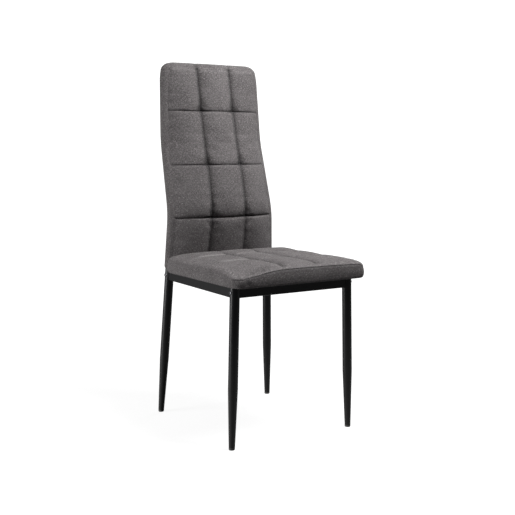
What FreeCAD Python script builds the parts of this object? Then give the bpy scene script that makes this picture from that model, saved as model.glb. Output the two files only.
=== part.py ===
"""Padded dining chair on a welded and bolted steel tube frame, in millimetres.

The chair stands on Z = 0 with the sitter facing -Y. X = 0 is its middle plane.
While it is built, Y is measured back from the front edge of the seat; at the end
every piece is moved forward by half the overall depth, so the origin ends up on
the floor under the middle of the chair.
"""
import FreeCAD, Part
import math
import os

Vector = FreeCAD.Vector

# ---- Seat -------------------------------------------------------------------
SEAT_WIDTH = 400.0
SEAT_DEPTH = 381.0
SEAT_CORNER_RADIUS = 30.0
SEAT_EDGE_RADIUS = 14.0
SEAT_FOAM_THICKNESS = 32.0
SEAT_BOARD_THICKNESS = 12.0
SEAT_BOARD_INSET = 8.0
FABRIC = 1.5
DUST_COVER_THICKNESS = 0.6
COVER_TURN_UNDER = 30.0

# ---- Frame ------------------------------------------------------------------
RAIL_UNDERSIDE = 380.0
RAIL_HEIGHT = 28.0
RAIL_THICKNESS = 15.0
RAIL_WALL = 1.2
RAIL_CORNER_RADIUS = 2.5
SEAT_OVERHANG = 28.0
FRONT_OVERHANG = 53.75
REAR_TRACK_TAPER = 10.15
TUBE_DIAMETER = 25.0
TUBE_WALL = 1.5
FOOT_DIAMETER = 16.0
SWAGE_HEIGHT = 155.0
FRONT_FOOT_SPLAY = 9.1
FRONT_FOOT_RAKE = 0.75
REAR_FOOT_SPLAY = 17.75
REAR_FOOT_RAKE = 24.65

# ---- Back -------------------------------------------------------------------
TOTAL_HEIGHT = 976.0
LUMBAR_BEND_HEIGHT = 564.7
SHOULDER_BEND_HEIGHT = 764.0
BACK_LEAN = 14.7
SHOULDER_LEAN = 4.0
BACK_TAPER = 0.034
LUMBAR_BEND_RADIUS = 200.0
SHOULDER_BEND_RADIUS = 300.0
COVER_OVER_TUBE = 3.0
BACK_COVER_LIFT = 4.5
BACK_TOP_CORNER_RADIUS = 28.0
CROWN_BOTTOM = 18.0
CROWN_LUMBAR = 42.0
CROWN_MIDDLE = 50.0
CROWN_SHOULDER = 31.0
CROWN_TOP = 12.0
CROWN_MIDDLE_HEIGHT = 690.0
CROWN_SHOULDER_HEIGHT = 846.0
BEND_STATIONS = 3
STRAIGHT_STATION = 55.0

# ---- Inner pieces of the back -----------------------------------------------
BAR_HEIGHT = 20.0
BAR_DEPTH = 12.0
BAR_WALL = 1.2
TOP_TUBE_DIAMETER = 20.0
TOP_TUBE_DROP = 40.0
UPRIGHT_TOP_DROP = 27.0
BACK_PANEL_THICKNESS = 3.0
PANEL_SCREW_SPACING = 170.0

# ---- Small pieces -----------------------------------------------------------
GLIDE_HEIGHT = 6.0
GLIDE_STEM = 18.0
PLUG_THICKNESS = 2.0
PLUG_STEM = 14.0
BOLT_DIAMETER = 6.0
BOLT_HEAD_DIAMETER = 10.0
BOLT_HEAD_HEIGHT = 2.6
BOLT_DOME_SHARE = 0.7
BOLT_SPOT_DEPTH = 0.9
HEX_KEY = 4.0
HEX_SOCKET_SHARE = 0.6
INSERT_LENGTH = 18.0
BRACKET_LEG = 52.0
BRACKET_THICKNESS = 2.5
SCREW_FROM_CORNER = 18.7
REAR_BAR_WIDTH = 30.0
REAR_BAR_THICKNESS = 4.0
REAR_BAR_INSET = 36.0
SCREW_DIAMETER = 6.0
SCREW_HEAD_DIAMETER = 11.0
SCREW_HEAD_HEIGHT = 3.5
WASHER_DIAMETER = 14.0
WASHER_THICKNESS = 1.2
T_NUT_FLANGE_DIAMETER = 18.0
T_NUT_FLANGE = 1.4
T_NUT_BARREL_DIAMETER = 8.0
T_NUT_BARREL = 8.0
STAPLE_CROWN = 10.0
STAPLE_WIRE = 1.0
STAPLE_LEG = 7.0
STAPLE_PITCH = 42.0
PANEL_SCREW_DIAMETER = 4.0
PANEL_SCREW_HEAD = 1.5
ZIP_WIDTH = 10.0
ZIP_THICKNESS = 1.5
GLIDE_ROUNDING = 1.0

# ---- Clearances -------------------------------------------------------------
WELD_GAP = 0.05
STEM_CLEARANCE = 0.2
HOLE_CLEARANCE = 0.3
SEAT_TO_BACK_GAP = 0.3
SKIN_CLEARANCE = 0.2
TINY = 1e-6

# ---- Levels worked out from the sizes above ---------------------------------
TUBE_RADIUS = TUBE_DIAMETER / 2
RAIL_TOP = RAIL_UNDERSIDE + RAIL_HEIGHT
RAIL_MIDDLE = RAIL_UNDERSIDE + RAIL_HEIGHT / 2
DUST_COVER_TOP = RAIL_TOP + DUST_COVER_THICKNESS
BOARD_BOTTOM = DUST_COVER_TOP + FABRIC
BOARD_TOP = BOARD_BOTTOM + SEAT_BOARD_THICKNESS
SEAT_TOP = BOARD_TOP + SEAT_FOAM_THICKNESS + FABRIC
BACK_COVER_BOTTOM = RAIL_TOP + BACK_COVER_LIFT
COVER_RADIUS = TUBE_RADIUS + COVER_OVER_TUBE
PANEL_REAR = BAR_DEPTH / 2 + WELD_GAP
PANEL_FRONT = PANEL_REAR + BACK_PANEL_THICKNESS

SIDES = {"left": -1, "right": 1}
UP = Vector(0, 0, 1)


# ---- Leg axes and the back's spine ------------------------------------------
def along(low, high, height):
    """Point on the line through low and high at the given height."""
    share = (height - low.z) / (high.z - low.z)
    return low + (high - low) * share


def crown_depth(height):
    """How far the back's middle stands in front of the upright tubes' covered fronts."""
    levels = (BACK_COVER_BOTTOM, LUMBAR_BEND_HEIGHT, CROWN_MIDDLE_HEIGHT, CROWN_SHOULDER_HEIGHT, TOTAL_HEIGHT)
    depths = (CROWN_BOTTOM, CROWN_LUMBAR, CROWN_MIDDLE, CROWN_SHOULDER, CROWN_TOP)
    for index in range(1, len(levels)):
        if height <= levels[index] + TINY:
            share = (height - levels[index - 1]) / (levels[index] - levels[index - 1])
            return depths[index - 1] + (depths[index] - depths[index - 1]) * share
    return depths[-1]


def rear_rail_depth():
    """Depth of the rear legs at the rails' underside, which just clears the seat from the back."""
    rake = REAR_FOOT_RAKE / RAIL_UNDERSIDE * (SEAT_TOP - RAIL_UNDERSIDE)
    return SEAT_DEPTH + SEAT_TO_BACK_GAP + crown_depth(SEAT_TOP) + COVER_RADIUS + rake


def front_axis(side):
    """Foot and rail-underside points of a front leg's centre line."""
    x_rail = SEAT_WIDTH / 2 - SEAT_OVERHANG
    foot = Vector(side * (x_rail + FRONT_FOOT_SPLAY), FRONT_OVERHANG + FRONT_FOOT_RAKE, 0)
    rail = Vector(side * x_rail, FRONT_OVERHANG, RAIL_UNDERSIDE)
    return foot, rail


def spine(side):
    """Corner points of a rear upright's centre line, from the floor to the top."""
    x_rail = SEAT_WIDTH / 2 - SEAT_OVERHANG - REAR_TRACK_TAPER
    y_rail = rear_rail_depth()
    foot = Vector(side * (x_rail + REAR_FOOT_SPLAY), y_rail + REAR_FOOT_RAKE, 0)
    rail = Vector(side * x_rail, y_rail, RAIL_UNDERSIDE)
    lumbar = along(foot, rail, LUMBAR_BEND_HEIGHT)
    rise = SHOULDER_BEND_HEIGHT - LUMBAR_BEND_HEIGHT
    shoulder = lumbar + Vector(-side * BACK_TAPER * rise, math.tan(math.radians(BACK_LEAN)) * rise, rise)
    rise = TOTAL_HEIGHT - SHOULDER_BEND_HEIGHT
    top = shoulder + Vector(-side * BACK_TAPER * rise, math.tan(math.radians(SHOULDER_LEAN)) * rise, rise)
    return [foot, lumbar, shoulder, top]


def tangent_arc(before, corner, after, radius):
    """Arc of the given radius that rounds a corner between two straight runs."""
    arriving = (corner - before).normalize()
    leaving = (after - corner).normalize()
    turn = arriving.getAngle(leaving)
    reach = radius * math.tan(turn / 2)
    start = corner - arriving * reach
    end = corner + leaving * reach
    inward = (leaving - arriving).normalize()
    sagitta = radius * (1 / math.cos(turn / 2) - 1)
    return Part.Arc(start, corner + inward * sagitta, end).toShape()


def spine_edges(side):
    """The spine as straight runs and tangent arcs, starting above the swaged foot."""
    foot, lumbar, shoulder, top = spine(side)
    lower_arc = tangent_arc(foot, lumbar, shoulder, LUMBAR_BEND_RADIUS)
    upper_arc = tangent_arc(lumbar, shoulder, top, SHOULDER_BEND_RADIUS)
    start = along(foot, lumbar, RAIL_UNDERSIDE)
    runs = [Part.makeLine(start, lower_arc.Vertexes[0].Point), lower_arc]
    runs += [Part.makeLine(lower_arc.Vertexes[-1].Point, upper_arc.Vertexes[0].Point), upper_arc]
    runs.append(Part.makeLine(upper_arc.Vertexes[-1].Point, top))
    return runs


def spine_stations():
    """Points of the right-hand spine over the cover's height, close on the bends."""
    points = []
    for edge in spine_edges(1):
        curved = edge.Curve.TypeId == "Part::GeomCircle"
        steps = BEND_STATIONS if curved else max(1, round(edge.Length / STRAIGHT_STATION))
        for step in range(steps):
            points.append(edge.valueAt(edge.getParameterByLength(edge.Length * step / steps)))
    points.append(spine(1)[3])
    start = along(spine(1)[0], spine(1)[1], BACK_COVER_BOTTOM)
    return [start] + [point for point in points if point.z > BACK_COVER_BOTTOM + 10]


# ---- General shapes ---------------------------------------------------------
def place_along(shape, base, direction):
    """Turn a shape made on the Z axis to a direction and set it at a base point."""
    placed = shape.copy()
    placed.Placement = FreeCAD.Placement(base, FreeCAD.Rotation(UP, direction))
    return placed


def turned(profile):
    """Solid of revolution about Z from (radius, height) points."""
    points = [Vector(radius, 0, height) for radius, height in profile]
    face = Part.Face(Part.makePolygon(points + points[:1]))
    return face.revolve(Vector(0, 0, 0), UP, 360)


def rod(start, end, radius):
    """Round bar between two points."""
    return Part.makeCylinder(radius, (end - start).Length, start, end - start)


def below(level):
    """Large block that lies under a level, for trimming."""
    size = 4 * TOTAL_HEIGHT
    return Part.makeBox(size, size, size, Vector(-size / 2, -size / 2, level - size))


def above(level):
    """Large block that lies over a level, for trimming."""
    size = 4 * TOTAL_HEIGHT
    return Part.makeBox(size, size, size, Vector(-size / 2, -size / 2, level))


def hollow_bar(start, end, height, thickness, wall, corner):
    """Rectangular tube between two points, its section upright, centred on the line."""
    length = (end - start).Length
    outer = Part.makeBox(length, thickness, height, Vector(0, -thickness / 2, -height / 2))
    long_edges = [edge for edge in outer.Edges if abs(edge.tangentAt(edge.FirstParameter).x) > 0.5]
    outer = outer.makeFillet(corner, long_edges)
    inner = Part.makeBox(length, thickness - 2 * wall, height - 2 * wall,
                         Vector(0, -thickness / 2 + wall, -height / 2 + wall))
    bar = outer.cut(inner)
    angle = math.degrees(math.atan2(end.y - start.y, end.x - start.x))
    bar.Placement = FreeCAD.Placement(start, FreeCAD.Rotation(UP, angle))
    return bar


# ---- Legs and uprights ------------------------------------------------------
def swaged_profile(length, radius_cut):
    """Leg outline from floor to length: straight tube above, cone down to the foot."""
    foot = FOOT_DIAMETER / 2 - radius_cut
    tube = TUBE_RADIUS - radius_cut
    return [(0, GLIDE_HEIGHT), (foot, GLIDE_HEIGHT), (tube, SWAGE_HEIGHT), (tube, length), (0, length)]


def front_leg(side):
    foot, rail = front_axis(side)
    length = (along(foot, rail, RAIL_TOP) - foot).Length + TUBE_RADIUS
    outer = turned(swaged_profile(length, 0))
    bore = turned(swaged_profile(length, TUBE_WALL))
    leg = place_along(outer.cut(bore), foot, rail - foot)
    leg = leg.cut(above(RAIL_TOP - PLUG_THICKNESS))
    return leg.cut(bolt_opening(side, along(foot, rail, RAIL_MIDDLE)))


def bent_rod(side, radius, end_height):
    """Solid bar that follows the spine from rail height to end_height."""
    edges = spine_edges(side)
    last = edges[-1]
    low, high = last.Vertexes[0].Point, last.Vertexes[-1].Point
    edges[-1] = Part.makeLine(low, along(low, high, end_height))
    start = edges[0].Vertexes[0].Point
    direction = edges[0].Vertexes[-1].Point - start
    circle = Part.Wire([Part.makeCircle(radius, start, direction)])
    return Part.Wire(edges).makePipeShell([circle], True, False)


def upright_solid(side, radius_cut, end_height):
    foot, lumbar = spine(side)[:2]
    length = (along(foot, lumbar, RAIL_UNDERSIDE) - foot).Length
    lower = place_along(turned(swaged_profile(length, radius_cut)), foot, lumbar - foot)
    return lower.fuse(bent_rod(side, TUBE_RADIUS - radius_cut, end_height)).removeSplitter()


def rear_upright(side):
    end_height = TOTAL_HEIGHT - UPRIGHT_TOP_DROP
    upright = upright_solid(side, 0, end_height).cut(upright_solid(side, TUBE_WALL, end_height))
    foot, lumbar = spine(side)[:2]
    return upright.cut(bolt_opening(side, along(foot, lumbar, RAIL_MIDDLE)))


def leg_space(side, rear):
    """A leg's outer shape at rail height, grown by the weld gap, to cope rails against."""
    foot, rail = (spine(side)[:2] if rear else front_axis(side))
    low = along(foot, rail, RAIL_UNDERSIDE - 2 * RAIL_HEIGHT)
    high = along(foot, rail, RAIL_TOP + 2 * RAIL_HEIGHT)
    return rod(low, high, TUBE_RADIUS + WELD_GAP)


# ---- Rails and what ties them together --------------------------------------
def leg_point(side, rear, height):
    foot, rail = (spine(side)[:2] if rear else front_axis(side))
    return along(foot, rail, height)


def level_rail(start, end):
    return hollow_bar(start, end, RAIL_HEIGHT, RAIL_THICKNESS, RAIL_WALL, RAIL_CORNER_RADIUS)


def cross_rail(rear):
    """Rail between the two front legs or the two rear ones."""
    rail = level_rail(leg_point(-1, rear, RAIL_MIDDLE), leg_point(1, rear, RAIL_MIDDLE))
    return rail.cut([leg_space(-1, rear), leg_space(1, rear)])


def cross_rail_space(rear):
    """Filled outline of a cross rail, grown by the weld gap."""
    start = leg_point(-1, rear, RAIL_MIDDLE)
    end = leg_point(1, rear, RAIL_MIDDLE)
    half = RAIL_THICKNESS / 2 + WELD_GAP
    low = Vector(start.x, start.y - half, RAIL_UNDERSIDE - WELD_GAP)
    return Part.makeBox(end.x - start.x, 2 * half, RAIL_HEIGHT + 2 * WELD_GAP, low)


def side_rail(side):
    """Rail from a front leg to a rear leg, its ends trimmed to the legs and the cross rails."""
    rail = level_rail(leg_point(side, False, RAIL_MIDDLE), leg_point(side, True, RAIL_MIDDLE))
    return rail.cut([leg_space(side, rear) for rear in (False, True)]
                    + [cross_rail_space(rear) for rear in (False, True)])


def bolt_opening(side, centre):
    """Cross hole and flat spot that a leg has for its rail bolt."""
    outward = Vector(side, 0, 0)
    reach = outward * TUBE_DIAMETER
    hole = rod(centre - reach, centre + reach, BOLT_DIAMETER / 2 + HOLE_CLEARANCE)
    seat = centre + outward * (TUBE_RADIUS - BOLT_SPOT_DEPTH)
    spot = rod(seat, seat + reach, BOLT_HEAD_DIAMETER / 2 + HOLE_CLEARANCE)
    return hole.fuse(spot)


def hex_socket(depth, top):
    """Hexagonal key socket cut down from the given level on the Z axis."""
    corner = HEX_KEY / math.sqrt(3)
    points = []
    for step in range(7):
        angle = math.radians(60 * step)
        points.append(Vector(corner * math.cos(angle), corner * math.sin(angle), top - depth))
    return Part.Face(Part.makePolygon(points)).extrude(Vector(0, 0, 2 * depth))


def rail_bolt(side, rear):
    """Low domed bolt through a leg into the end of its cross rail."""
    shank = TUBE_DIAMETER + INSERT_LENGTH - BOLT_SPOT_DEPTH - 2 * WELD_GAP
    rim = BOLT_HEAD_DIAMETER / 2
    dome = Part.makeCylinder(rim, BOLT_HEAD_HEIGHT, Vector(0, 0, 0))
    top_edges = [edge for edge in dome.Edges if edge.BoundBox.ZMin > BOLT_HEAD_HEIGHT - TINY]
    dome = dome.makeFillet(BOLT_HEAD_HEIGHT * BOLT_DOME_SHARE, top_edges)
    dome = dome.cut(hex_socket(BOLT_HEAD_HEIGHT * HEX_SOCKET_SHARE, BOLT_HEAD_HEIGHT))
    bolt = dome.fuse(Part.makeCylinder(BOLT_DIAMETER / 2, shank, Vector(0, 0, -shank)))
    seat = leg_point(side, rear, RAIL_MIDDLE) + Vector(side * (TUBE_RADIUS - BOLT_SPOT_DEPTH), 0, 0)
    return place_along(bolt, seat, Vector(side, 0, 0))


def rail_insert(side, rear):
    """Threaded block welded inside a cross rail's end, which the bolt screws into."""
    depth = RAIL_THICKNESS - 2 * RAIL_WALL - 2 * WELD_GAP
    height = RAIL_HEIGHT - 2 * RAIL_WALL - 2 * WELD_GAP
    centre = leg_point(side, rear, RAIL_MIDDLE)
    inner = centre - Vector(side * (TUBE_RADIUS + INSERT_LENGTH), 0, 0)
    low = Vector(min(centre.x, inner.x), centre.y - depth / 2, centre.z - height / 2)
    block = Part.makeBox(abs(centre.x - inner.x), depth, height, low)
    bore = rod(centre, inner - Vector(side, 0, 0), BOLT_DIAMETER / 2 + WELD_GAP)
    return block.cut([leg_space(side, rear), bore])


# ---- Seat support: front corner brackets and rear cross bar -----------------
def bracket_corner(side):
    """Inner meeting point of the front rail and a side rail, at the rails' top."""
    axis = leg_point(side, False, RAIL_TOP)
    return axis + Vector(-side * RAIL_THICKNESS / 2, RAIL_THICKNESS / 2, 0)


def screw_points():
    """Where the four seat screws pass up into the board."""
    points = []
    for side in SIDES.values():
        corner = bracket_corner(side)
        points.append(corner + Vector(-side * SCREW_FROM_CORNER, SCREW_FROM_CORNER, 0))
    for corner in points[:2]:
        points.append(Vector(corner.x, rear_bar_y(), RAIL_TOP))
    return points


def rear_bar_y():
    """Depth of the cross bar that carries the back of the seat board."""
    return SEAT_DEPTH - SEAT_BOARD_INSET - REAR_BAR_INSET


def seat_bracket(side):
    """Triangular plate welded into a front corner, flush with the rails' top."""
    corner = bracket_corner(side) - Vector(0, 0, BRACKET_THICKNESS)
    near = corner + Vector(side * BRACKET_LEG / 4, WELD_GAP, 0)
    far_side = corner + Vector(side * BRACKET_LEG / 4, BRACKET_LEG, 0)
    far_front = corner + Vector(-side * BRACKET_LEG, WELD_GAP, 0)
    plate = Part.Face(Part.makePolygon([near, far_side, far_front, near]))
    plate = plate.extrude(Vector(0, 0, BRACKET_THICKNESS))
    plate = plate.cut([leg_space(side, False), side_rail_space(side)])
    return plate.cut(screw_holes(SCREW_DIAMETER / 2 + HOLE_CLEARANCE))


def side_rail_space(side):
    """Filled outline of a side rail grown by the weld gap, and all that lies outside it."""
    start = leg_point(side, False, RAIL_MIDDLE)
    end = leg_point(side, True, RAIL_MIDDLE)
    inner = RAIL_THICKNESS / 2 + WELD_GAP
    length = (end - start).Length
    low = -inner if side < 0 else -SEAT_WIDTH
    block = Part.makeBox(length, inner + SEAT_WIDTH, 2 * RAIL_HEIGHT, Vector(0, low, -RAIL_HEIGHT))
    angle = math.degrees(math.atan2(end.y - start.y, end.x - start.x))
    block.Placement = FreeCAD.Placement(start, FreeCAD.Rotation(UP, angle))
    return block


def seat_rear_bar():
    """Flat bar welded between the side rails under the back of the seat board."""
    half = SEAT_WIDTH / 2
    low = Vector(-half, rear_bar_y() - REAR_BAR_WIDTH / 2, RAIL_TOP - REAR_BAR_THICKNESS)
    bar = Part.makeBox(2 * half, REAR_BAR_WIDTH, REAR_BAR_THICKNESS, low)
    bar = bar.cut([side_rail_space(side) for side in SIDES.values()])
    return bar.cut(screw_holes(SCREW_DIAMETER / 2 + HOLE_CLEARANCE))


def screw_holes(radius):
    """Upright holes for the seat screws through everything at rail top."""
    reach = Vector(0, 0, RAIL_HEIGHT)
    return [rod(point - reach, point + reach, radius) for point in screw_points()]


def support_underside(index):
    """Underside of the bracket or bar that a seat screw bears on."""
    thickness = BRACKET_THICKNESS if index < 2 else REAR_BAR_THICKNESS
    return RAIL_TOP - thickness


def seat_washers():
    washers = []
    for index, point in enumerate(screw_points()):
        top = Vector(point.x, point.y, support_underside(index))
        ring = rod(top - Vector(0, 0, WASHER_THICKNESS), top, WASHER_DIAMETER / 2)
        hole = rod(top - UP * 2 * WASHER_THICKNESS, top + UP, SCREW_DIAMETER / 2 + STEM_CLEARANCE)
        washers.append(ring.cut(hole))
    return washers


def seat_screws():
    """Machine screws whose heads bear on the washers and whose tips end in the T-nuts."""
    screws = []
    for index, point in enumerate(screw_points()):
        seat = support_underside(index) - WASHER_THICKNESS
        length = BOARD_TOP - T_NUT_FLANGE - STEM_CLEARANCE - seat
        head = Part.makeCylinder(SCREW_HEAD_DIAMETER / 2, SCREW_HEAD_HEIGHT, Vector(0, 0, -SCREW_HEAD_HEIGHT))
        rim = [edge for edge in head.Edges if edge.BoundBox.ZMax < -SCREW_HEAD_HEIGHT + TINY]
        head = head.makeFillet(SCREW_HEAD_HEIGHT / 3, rim)
        socket = hex_socket(SCREW_HEAD_HEIGHT * HEX_SOCKET_SHARE, 0)
        socket.translate(Vector(0, 0, -SCREW_HEAD_HEIGHT))
        screw = head.cut(socket).fuse(Part.makeCylinder(SCREW_DIAMETER / 2, length))
        screw.translate(Vector(point.x, point.y, seat))
        screws.append(screw)
    return screws


def t_nuts():
    nuts = []
    for point in screw_points():
        top = Vector(point.x, point.y, BOARD_TOP)
        flange = rod(top - UP * T_NUT_FLANGE, top, T_NUT_FLANGE_DIAMETER / 2)
        barrel = rod(top - UP * T_NUT_BARREL, top, T_NUT_BARREL_DIAMETER / 2)
        bore = rod(top - UP * 2 * T_NUT_BARREL, top - UP * T_NUT_FLANGE, SCREW_DIAMETER / 2 + WELD_GAP)
        nuts.append(flange.fuse(barrel).cut(bore))
    return nuts


def t_nut_pockets():
    pockets = []
    for point in screw_points():
        top = Vector(point.x, point.y, BOARD_TOP)
        recess = rod(top - UP * (T_NUT_FLANGE + WELD_GAP), top + UP, T_NUT_FLANGE_DIAMETER / 2 + WELD_GAP)
        hole = rod(top - UP * 2 * SEAT_BOARD_THICKNESS, top, T_NUT_BARREL_DIAMETER / 2 + WELD_GAP)
        pockets += [recess, hole]
    return pockets


# ---- Seat -------------------------------------------------------------------
def rounded_slab(inset, bottom, top, corner):
    """Slab with the seat's plan, set in from its outline, with rounded upright corners."""
    width = SEAT_WIDTH - 2 * inset
    depth = SEAT_DEPTH - 2 * inset
    slab = Part.makeBox(width, depth, top - bottom, Vector(-width / 2, inset, bottom))
    upright_edges = [edge for edge in slab.Edges if abs(edge.tangentAt(edge.FirstParameter).z) > 0.5]
    return slab.makeFillet(corner, upright_edges)


def padded_slab(inset, bottom, top, edge_radius):
    """Seat slab whose top edge is rounded over."""
    slab = rounded_slab(inset, bottom, top, SEAT_CORNER_RADIUS - inset)
    rim = [edge for edge in slab.Edges if edge.BoundBox.ZMin > top - TINY]
    return slab.makeFillet(edge_radius, rim)


def seat_cover():
    """Fabric skin, open in the middle underneath, with its hem turned under the board."""
    outer = padded_slab(0, BOARD_BOTTOM - FABRIC, SEAT_TOP, SEAT_EDGE_RADIUS)
    inner = padded_slab(FABRIC, BOARD_BOTTOM, SEAT_TOP - FABRIC, SEAT_EDGE_RADIUS - FABRIC)
    mouth = rounded_slab(COVER_TURN_UNDER, RAIL_TOP, BOARD_TOP, SEAT_CORNER_RADIUS / 3)
    return outer.cut([inner, mouth, staple_pockets()])


def seat_foam():
    """Foam block over the board, wrapping down its edges inside the cover."""
    inset = FABRIC + SKIN_CLEARANCE
    block = padded_slab(inset, BOARD_BOTTOM + SKIN_CLEARANCE, SEAT_TOP - inset, SEAT_EDGE_RADIUS - inset)
    corner = SEAT_CORNER_RADIUS - SEAT_BOARD_INSET
    board_space = rounded_slab(SEAT_BOARD_INSET - WELD_GAP, RAIL_TOP, BOARD_TOP + WELD_GAP, corner)
    return block.cut(board_space)


def seat_board():
    corner = SEAT_CORNER_RADIUS - SEAT_BOARD_INSET
    board = rounded_slab(SEAT_BOARD_INSET, BOARD_BOTTOM, BOARD_TOP, corner)
    return board.cut(t_nut_pockets() + [staple_pockets()])


def dust_cover():
    """Thin black cloth that hides the underside of the board and the cover's hem."""
    inset = SEAT_BOARD_INSET + STAPLE_CROWN / 2
    sheet = rounded_slab(inset, RAIL_TOP, DUST_COVER_TOP, SEAT_CORNER_RADIUS / 2)
    return sheet.cut(screw_holes(SCREW_DIAMETER / 2 + HOLE_CLEARANCE) + [staple_pockets()])


def staple_places():
    """Centre and direction of every staple, evenly spaced round the hem."""
    inset = SEAT_BOARD_INSET + STAPLE_CROWN + STAPLE_WIRE
    half_width = SEAT_WIDTH / 2 - inset
    straight = SEAT_WIDTH - 2 * SEAT_CORNER_RADIUS - STAPLE_CROWN
    count = int(straight // STAPLE_PITCH)
    places = []
    for step in range(count + 1):
        x = -straight / 2 + straight * step / count
        places.append((Vector(x, inset, 0), Vector(1, 0, 0)))
        places.append((Vector(x, SEAT_DEPTH - inset, 0), Vector(1, 0, 0)))
    straight = SEAT_DEPTH - 2 * SEAT_CORNER_RADIUS - STAPLE_CROWN
    count = int(straight // STAPLE_PITCH)
    for step in range(count + 1):
        y = (SEAT_DEPTH - straight) / 2 + straight * step / count
        for side in SIDES.values():
            places.append((Vector(side * half_width, y, 0), Vector(0, 1, 0)))
    return places


def staple(centre, direction, growth):
    """Square wire staple, its crown under the dust cover and its legs up in the board."""
    across = Vector(direction.y, direction.x, 0)
    wire = STAPLE_WIRE / 2 + growth
    half = STAPLE_CROWN / 2
    bottom = RAIL_TOP - growth
    crown_top = RAIL_TOP + STAPLE_WIRE / 2 + growth
    crown = bar_block(centre, direction, across, (-half - growth, half + growth), wire, (bottom, crown_top))
    leg_top = BOARD_BOTTOM + STAPLE_LEG + growth
    for end in (-1, 1):
        outer = end * (half + growth)
        inner = end * (half - STAPLE_WIRE - growth)
        span = (min(outer, inner), max(outer, inner))
        crown = crown.fuse(bar_block(centre, direction, across, span, wire, (bottom, leg_top)))
    return crown


def bar_block(centre, direction, across, span, wire, levels):
    """Rectangular block along a direction, given its span, half thickness and levels."""
    start = centre + direction * span[0] - across * wire
    end = centre + direction * span[1] + across * wire
    low = Vector(min(start.x, end.x), min(start.y, end.y), levels[0])
    return Part.makeBox(abs(end.x - start.x), abs(end.y - start.y), levels[1] - levels[0], low)


def seat_staples():
    return [staple(centre, direction, 0) for centre, direction in staple_places()]


def staple_pockets():
    grown = [staple(centre, direction, WELD_GAP) for centre, direction in staple_places()]
    return Part.makeCompound(grown)


# ---- Back -------------------------------------------------------------------
def back_section(centre, radius, crown, height):
    """Closed outline at one height: flat rear, tube-wrapped sides and crowned front."""
    x, y = centre.x, centre.y
    front = y - radius
    edges = [Part.makeLine(Vector(-x, y + radius, height), Vector(x, y + radius, height))]
    edges.append(Part.Arc(Vector(x, y + radius, height), Vector(x + radius, y, height),
                          Vector(x, front, height)).toShape())
    edges.append(Part.Arc(Vector(x, front, height), Vector(0, front - crown, height),
                          Vector(-x, front, height)).toShape())
    edges.append(Part.Arc(Vector(-x, front, height), Vector(-x - radius, y, height),
                          Vector(-x, y + radius, height)).toShape())
    return Part.Wire(edges)


def back_body(inset):
    """Outer shape of the padded back, set in evenly by the given amount."""
    sections = []
    for point in spine_stations():
        crown = crown_depth(point.z)
        sections.append(back_section(point, COVER_RADIUS - inset, crown, point.z))
    body = Part.makeLoft(sections, True, True)
    half = SEAT_WIDTH / 2
    bottom = BACK_COVER_BOTTOM + inset
    outline = Part.makeBox(2 * half, 2 * SEAT_DEPTH, TOTAL_HEIGHT - inset - bottom, Vector(-half, 0, bottom))
    top = spine(1)[3]
    corner = BACK_TOP_CORNER_RADIUS - inset
    trimmed = body.common(outline)
    return trimmed.common(top_corner_outline(top.x + COVER_RADIUS - inset, TOTAL_HEIGHT - inset, corner))


def top_corner_outline(half_width, top, corner):
    """Front-view outline that rounds the two upper corners of the back."""
    side_reach = SEAT_WIDTH / 2
    points = [Vector(-side_reach, 0, 0), Vector(side_reach, 0, 0), Vector(side_reach, 0, top - corner)]
    rim = Vector(half_width, 0, top - corner)
    edges = [Part.makeLine(points[0], points[1]), Part.makeLine(points[1], points[2])]
    edges.append(Part.makeLine(points[2], rim))
    for side in (1, -1):
        centre = Vector(side * (half_width - corner), 0, top - corner)
        middle = centre + Vector(side * corner * math.sqrt(0.5), 0, corner * math.sqrt(0.5))
        low = centre + Vector(side * corner, 0, 0)
        high = centre + Vector(0, 0, corner)
        first, last = (low, high) if side > 0 else (high, low)
        edges.append(Part.Arc(first, middle, last).toShape())
        if side > 0:
            edges.append(Part.makeLine(high, Vector(-high.x, 0, top)))
    left_rim = Vector(-half_width, 0, top - corner)
    outer_left = Vector(-side_reach, 0, top - corner)
    edges.append(Part.makeLine(left_rim, outer_left))
    edges.append(Part.makeLine(outer_left, points[0]))
    face = Part.Face(Part.Wire(edges))
    return face.extrude(Vector(0, 2 * SEAT_DEPTH, 0))


def upright_spaces():
    end_height = TOTAL_HEIGHT - UPRIGHT_TOP_DROP
    return [bent_rod(side, TUBE_RADIUS + SKIN_CLEARANCE, end_height) for side in SIDES.values()]


def back_cover():
    """Fabric sleeve over the whole back, with round holes for the uprights underneath."""
    cover = back_body(0).cut(back_body(FABRIC))
    return cover.cut(upright_spaces())


def panel_strip(rear, front, side_gap):
    """Curved sheet between the uprights, from one depth to another ahead of the spine."""
    sections = []
    for point in spine_stations():
        half = point.x - TUBE_RADIUS - side_gap
        corners = [Vector(-half, point.y - rear, point.z), Vector(half, point.y - rear, point.z)]
        corners += [Vector(half, point.y - front, point.z), Vector(-half, point.y - front, point.z)]
        sections.append(Part.makePolygon(corners + corners[:1]))
    return Part.makeLoft(sections, True, True)


def back_panel():
    panel = panel_strip(PANEL_REAR, PANEL_FRONT, HOLE_CLEARANCE)
    span = [below(bar_heights()[0] - BAR_HEIGHT / 2), above(top_tube_height() - TOP_TUBE_DIAMETER)]
    return panel.cut(span + panel_screw_tools(STEM_CLEARANCE))


def back_foam():
    """Foam block from the panel forward to the inside of the cover."""
    inset = FABRIC + SKIN_CLEARANCE
    block = back_body(inset).common(panel_strip(PANEL_FRONT + SKIN_CLEARANCE, SEAT_DEPTH, HOLE_CLEARANCE))
    return block.cut([top_tube_space()] + panel_screw_tools(STEM_CLEARANCE))


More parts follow.
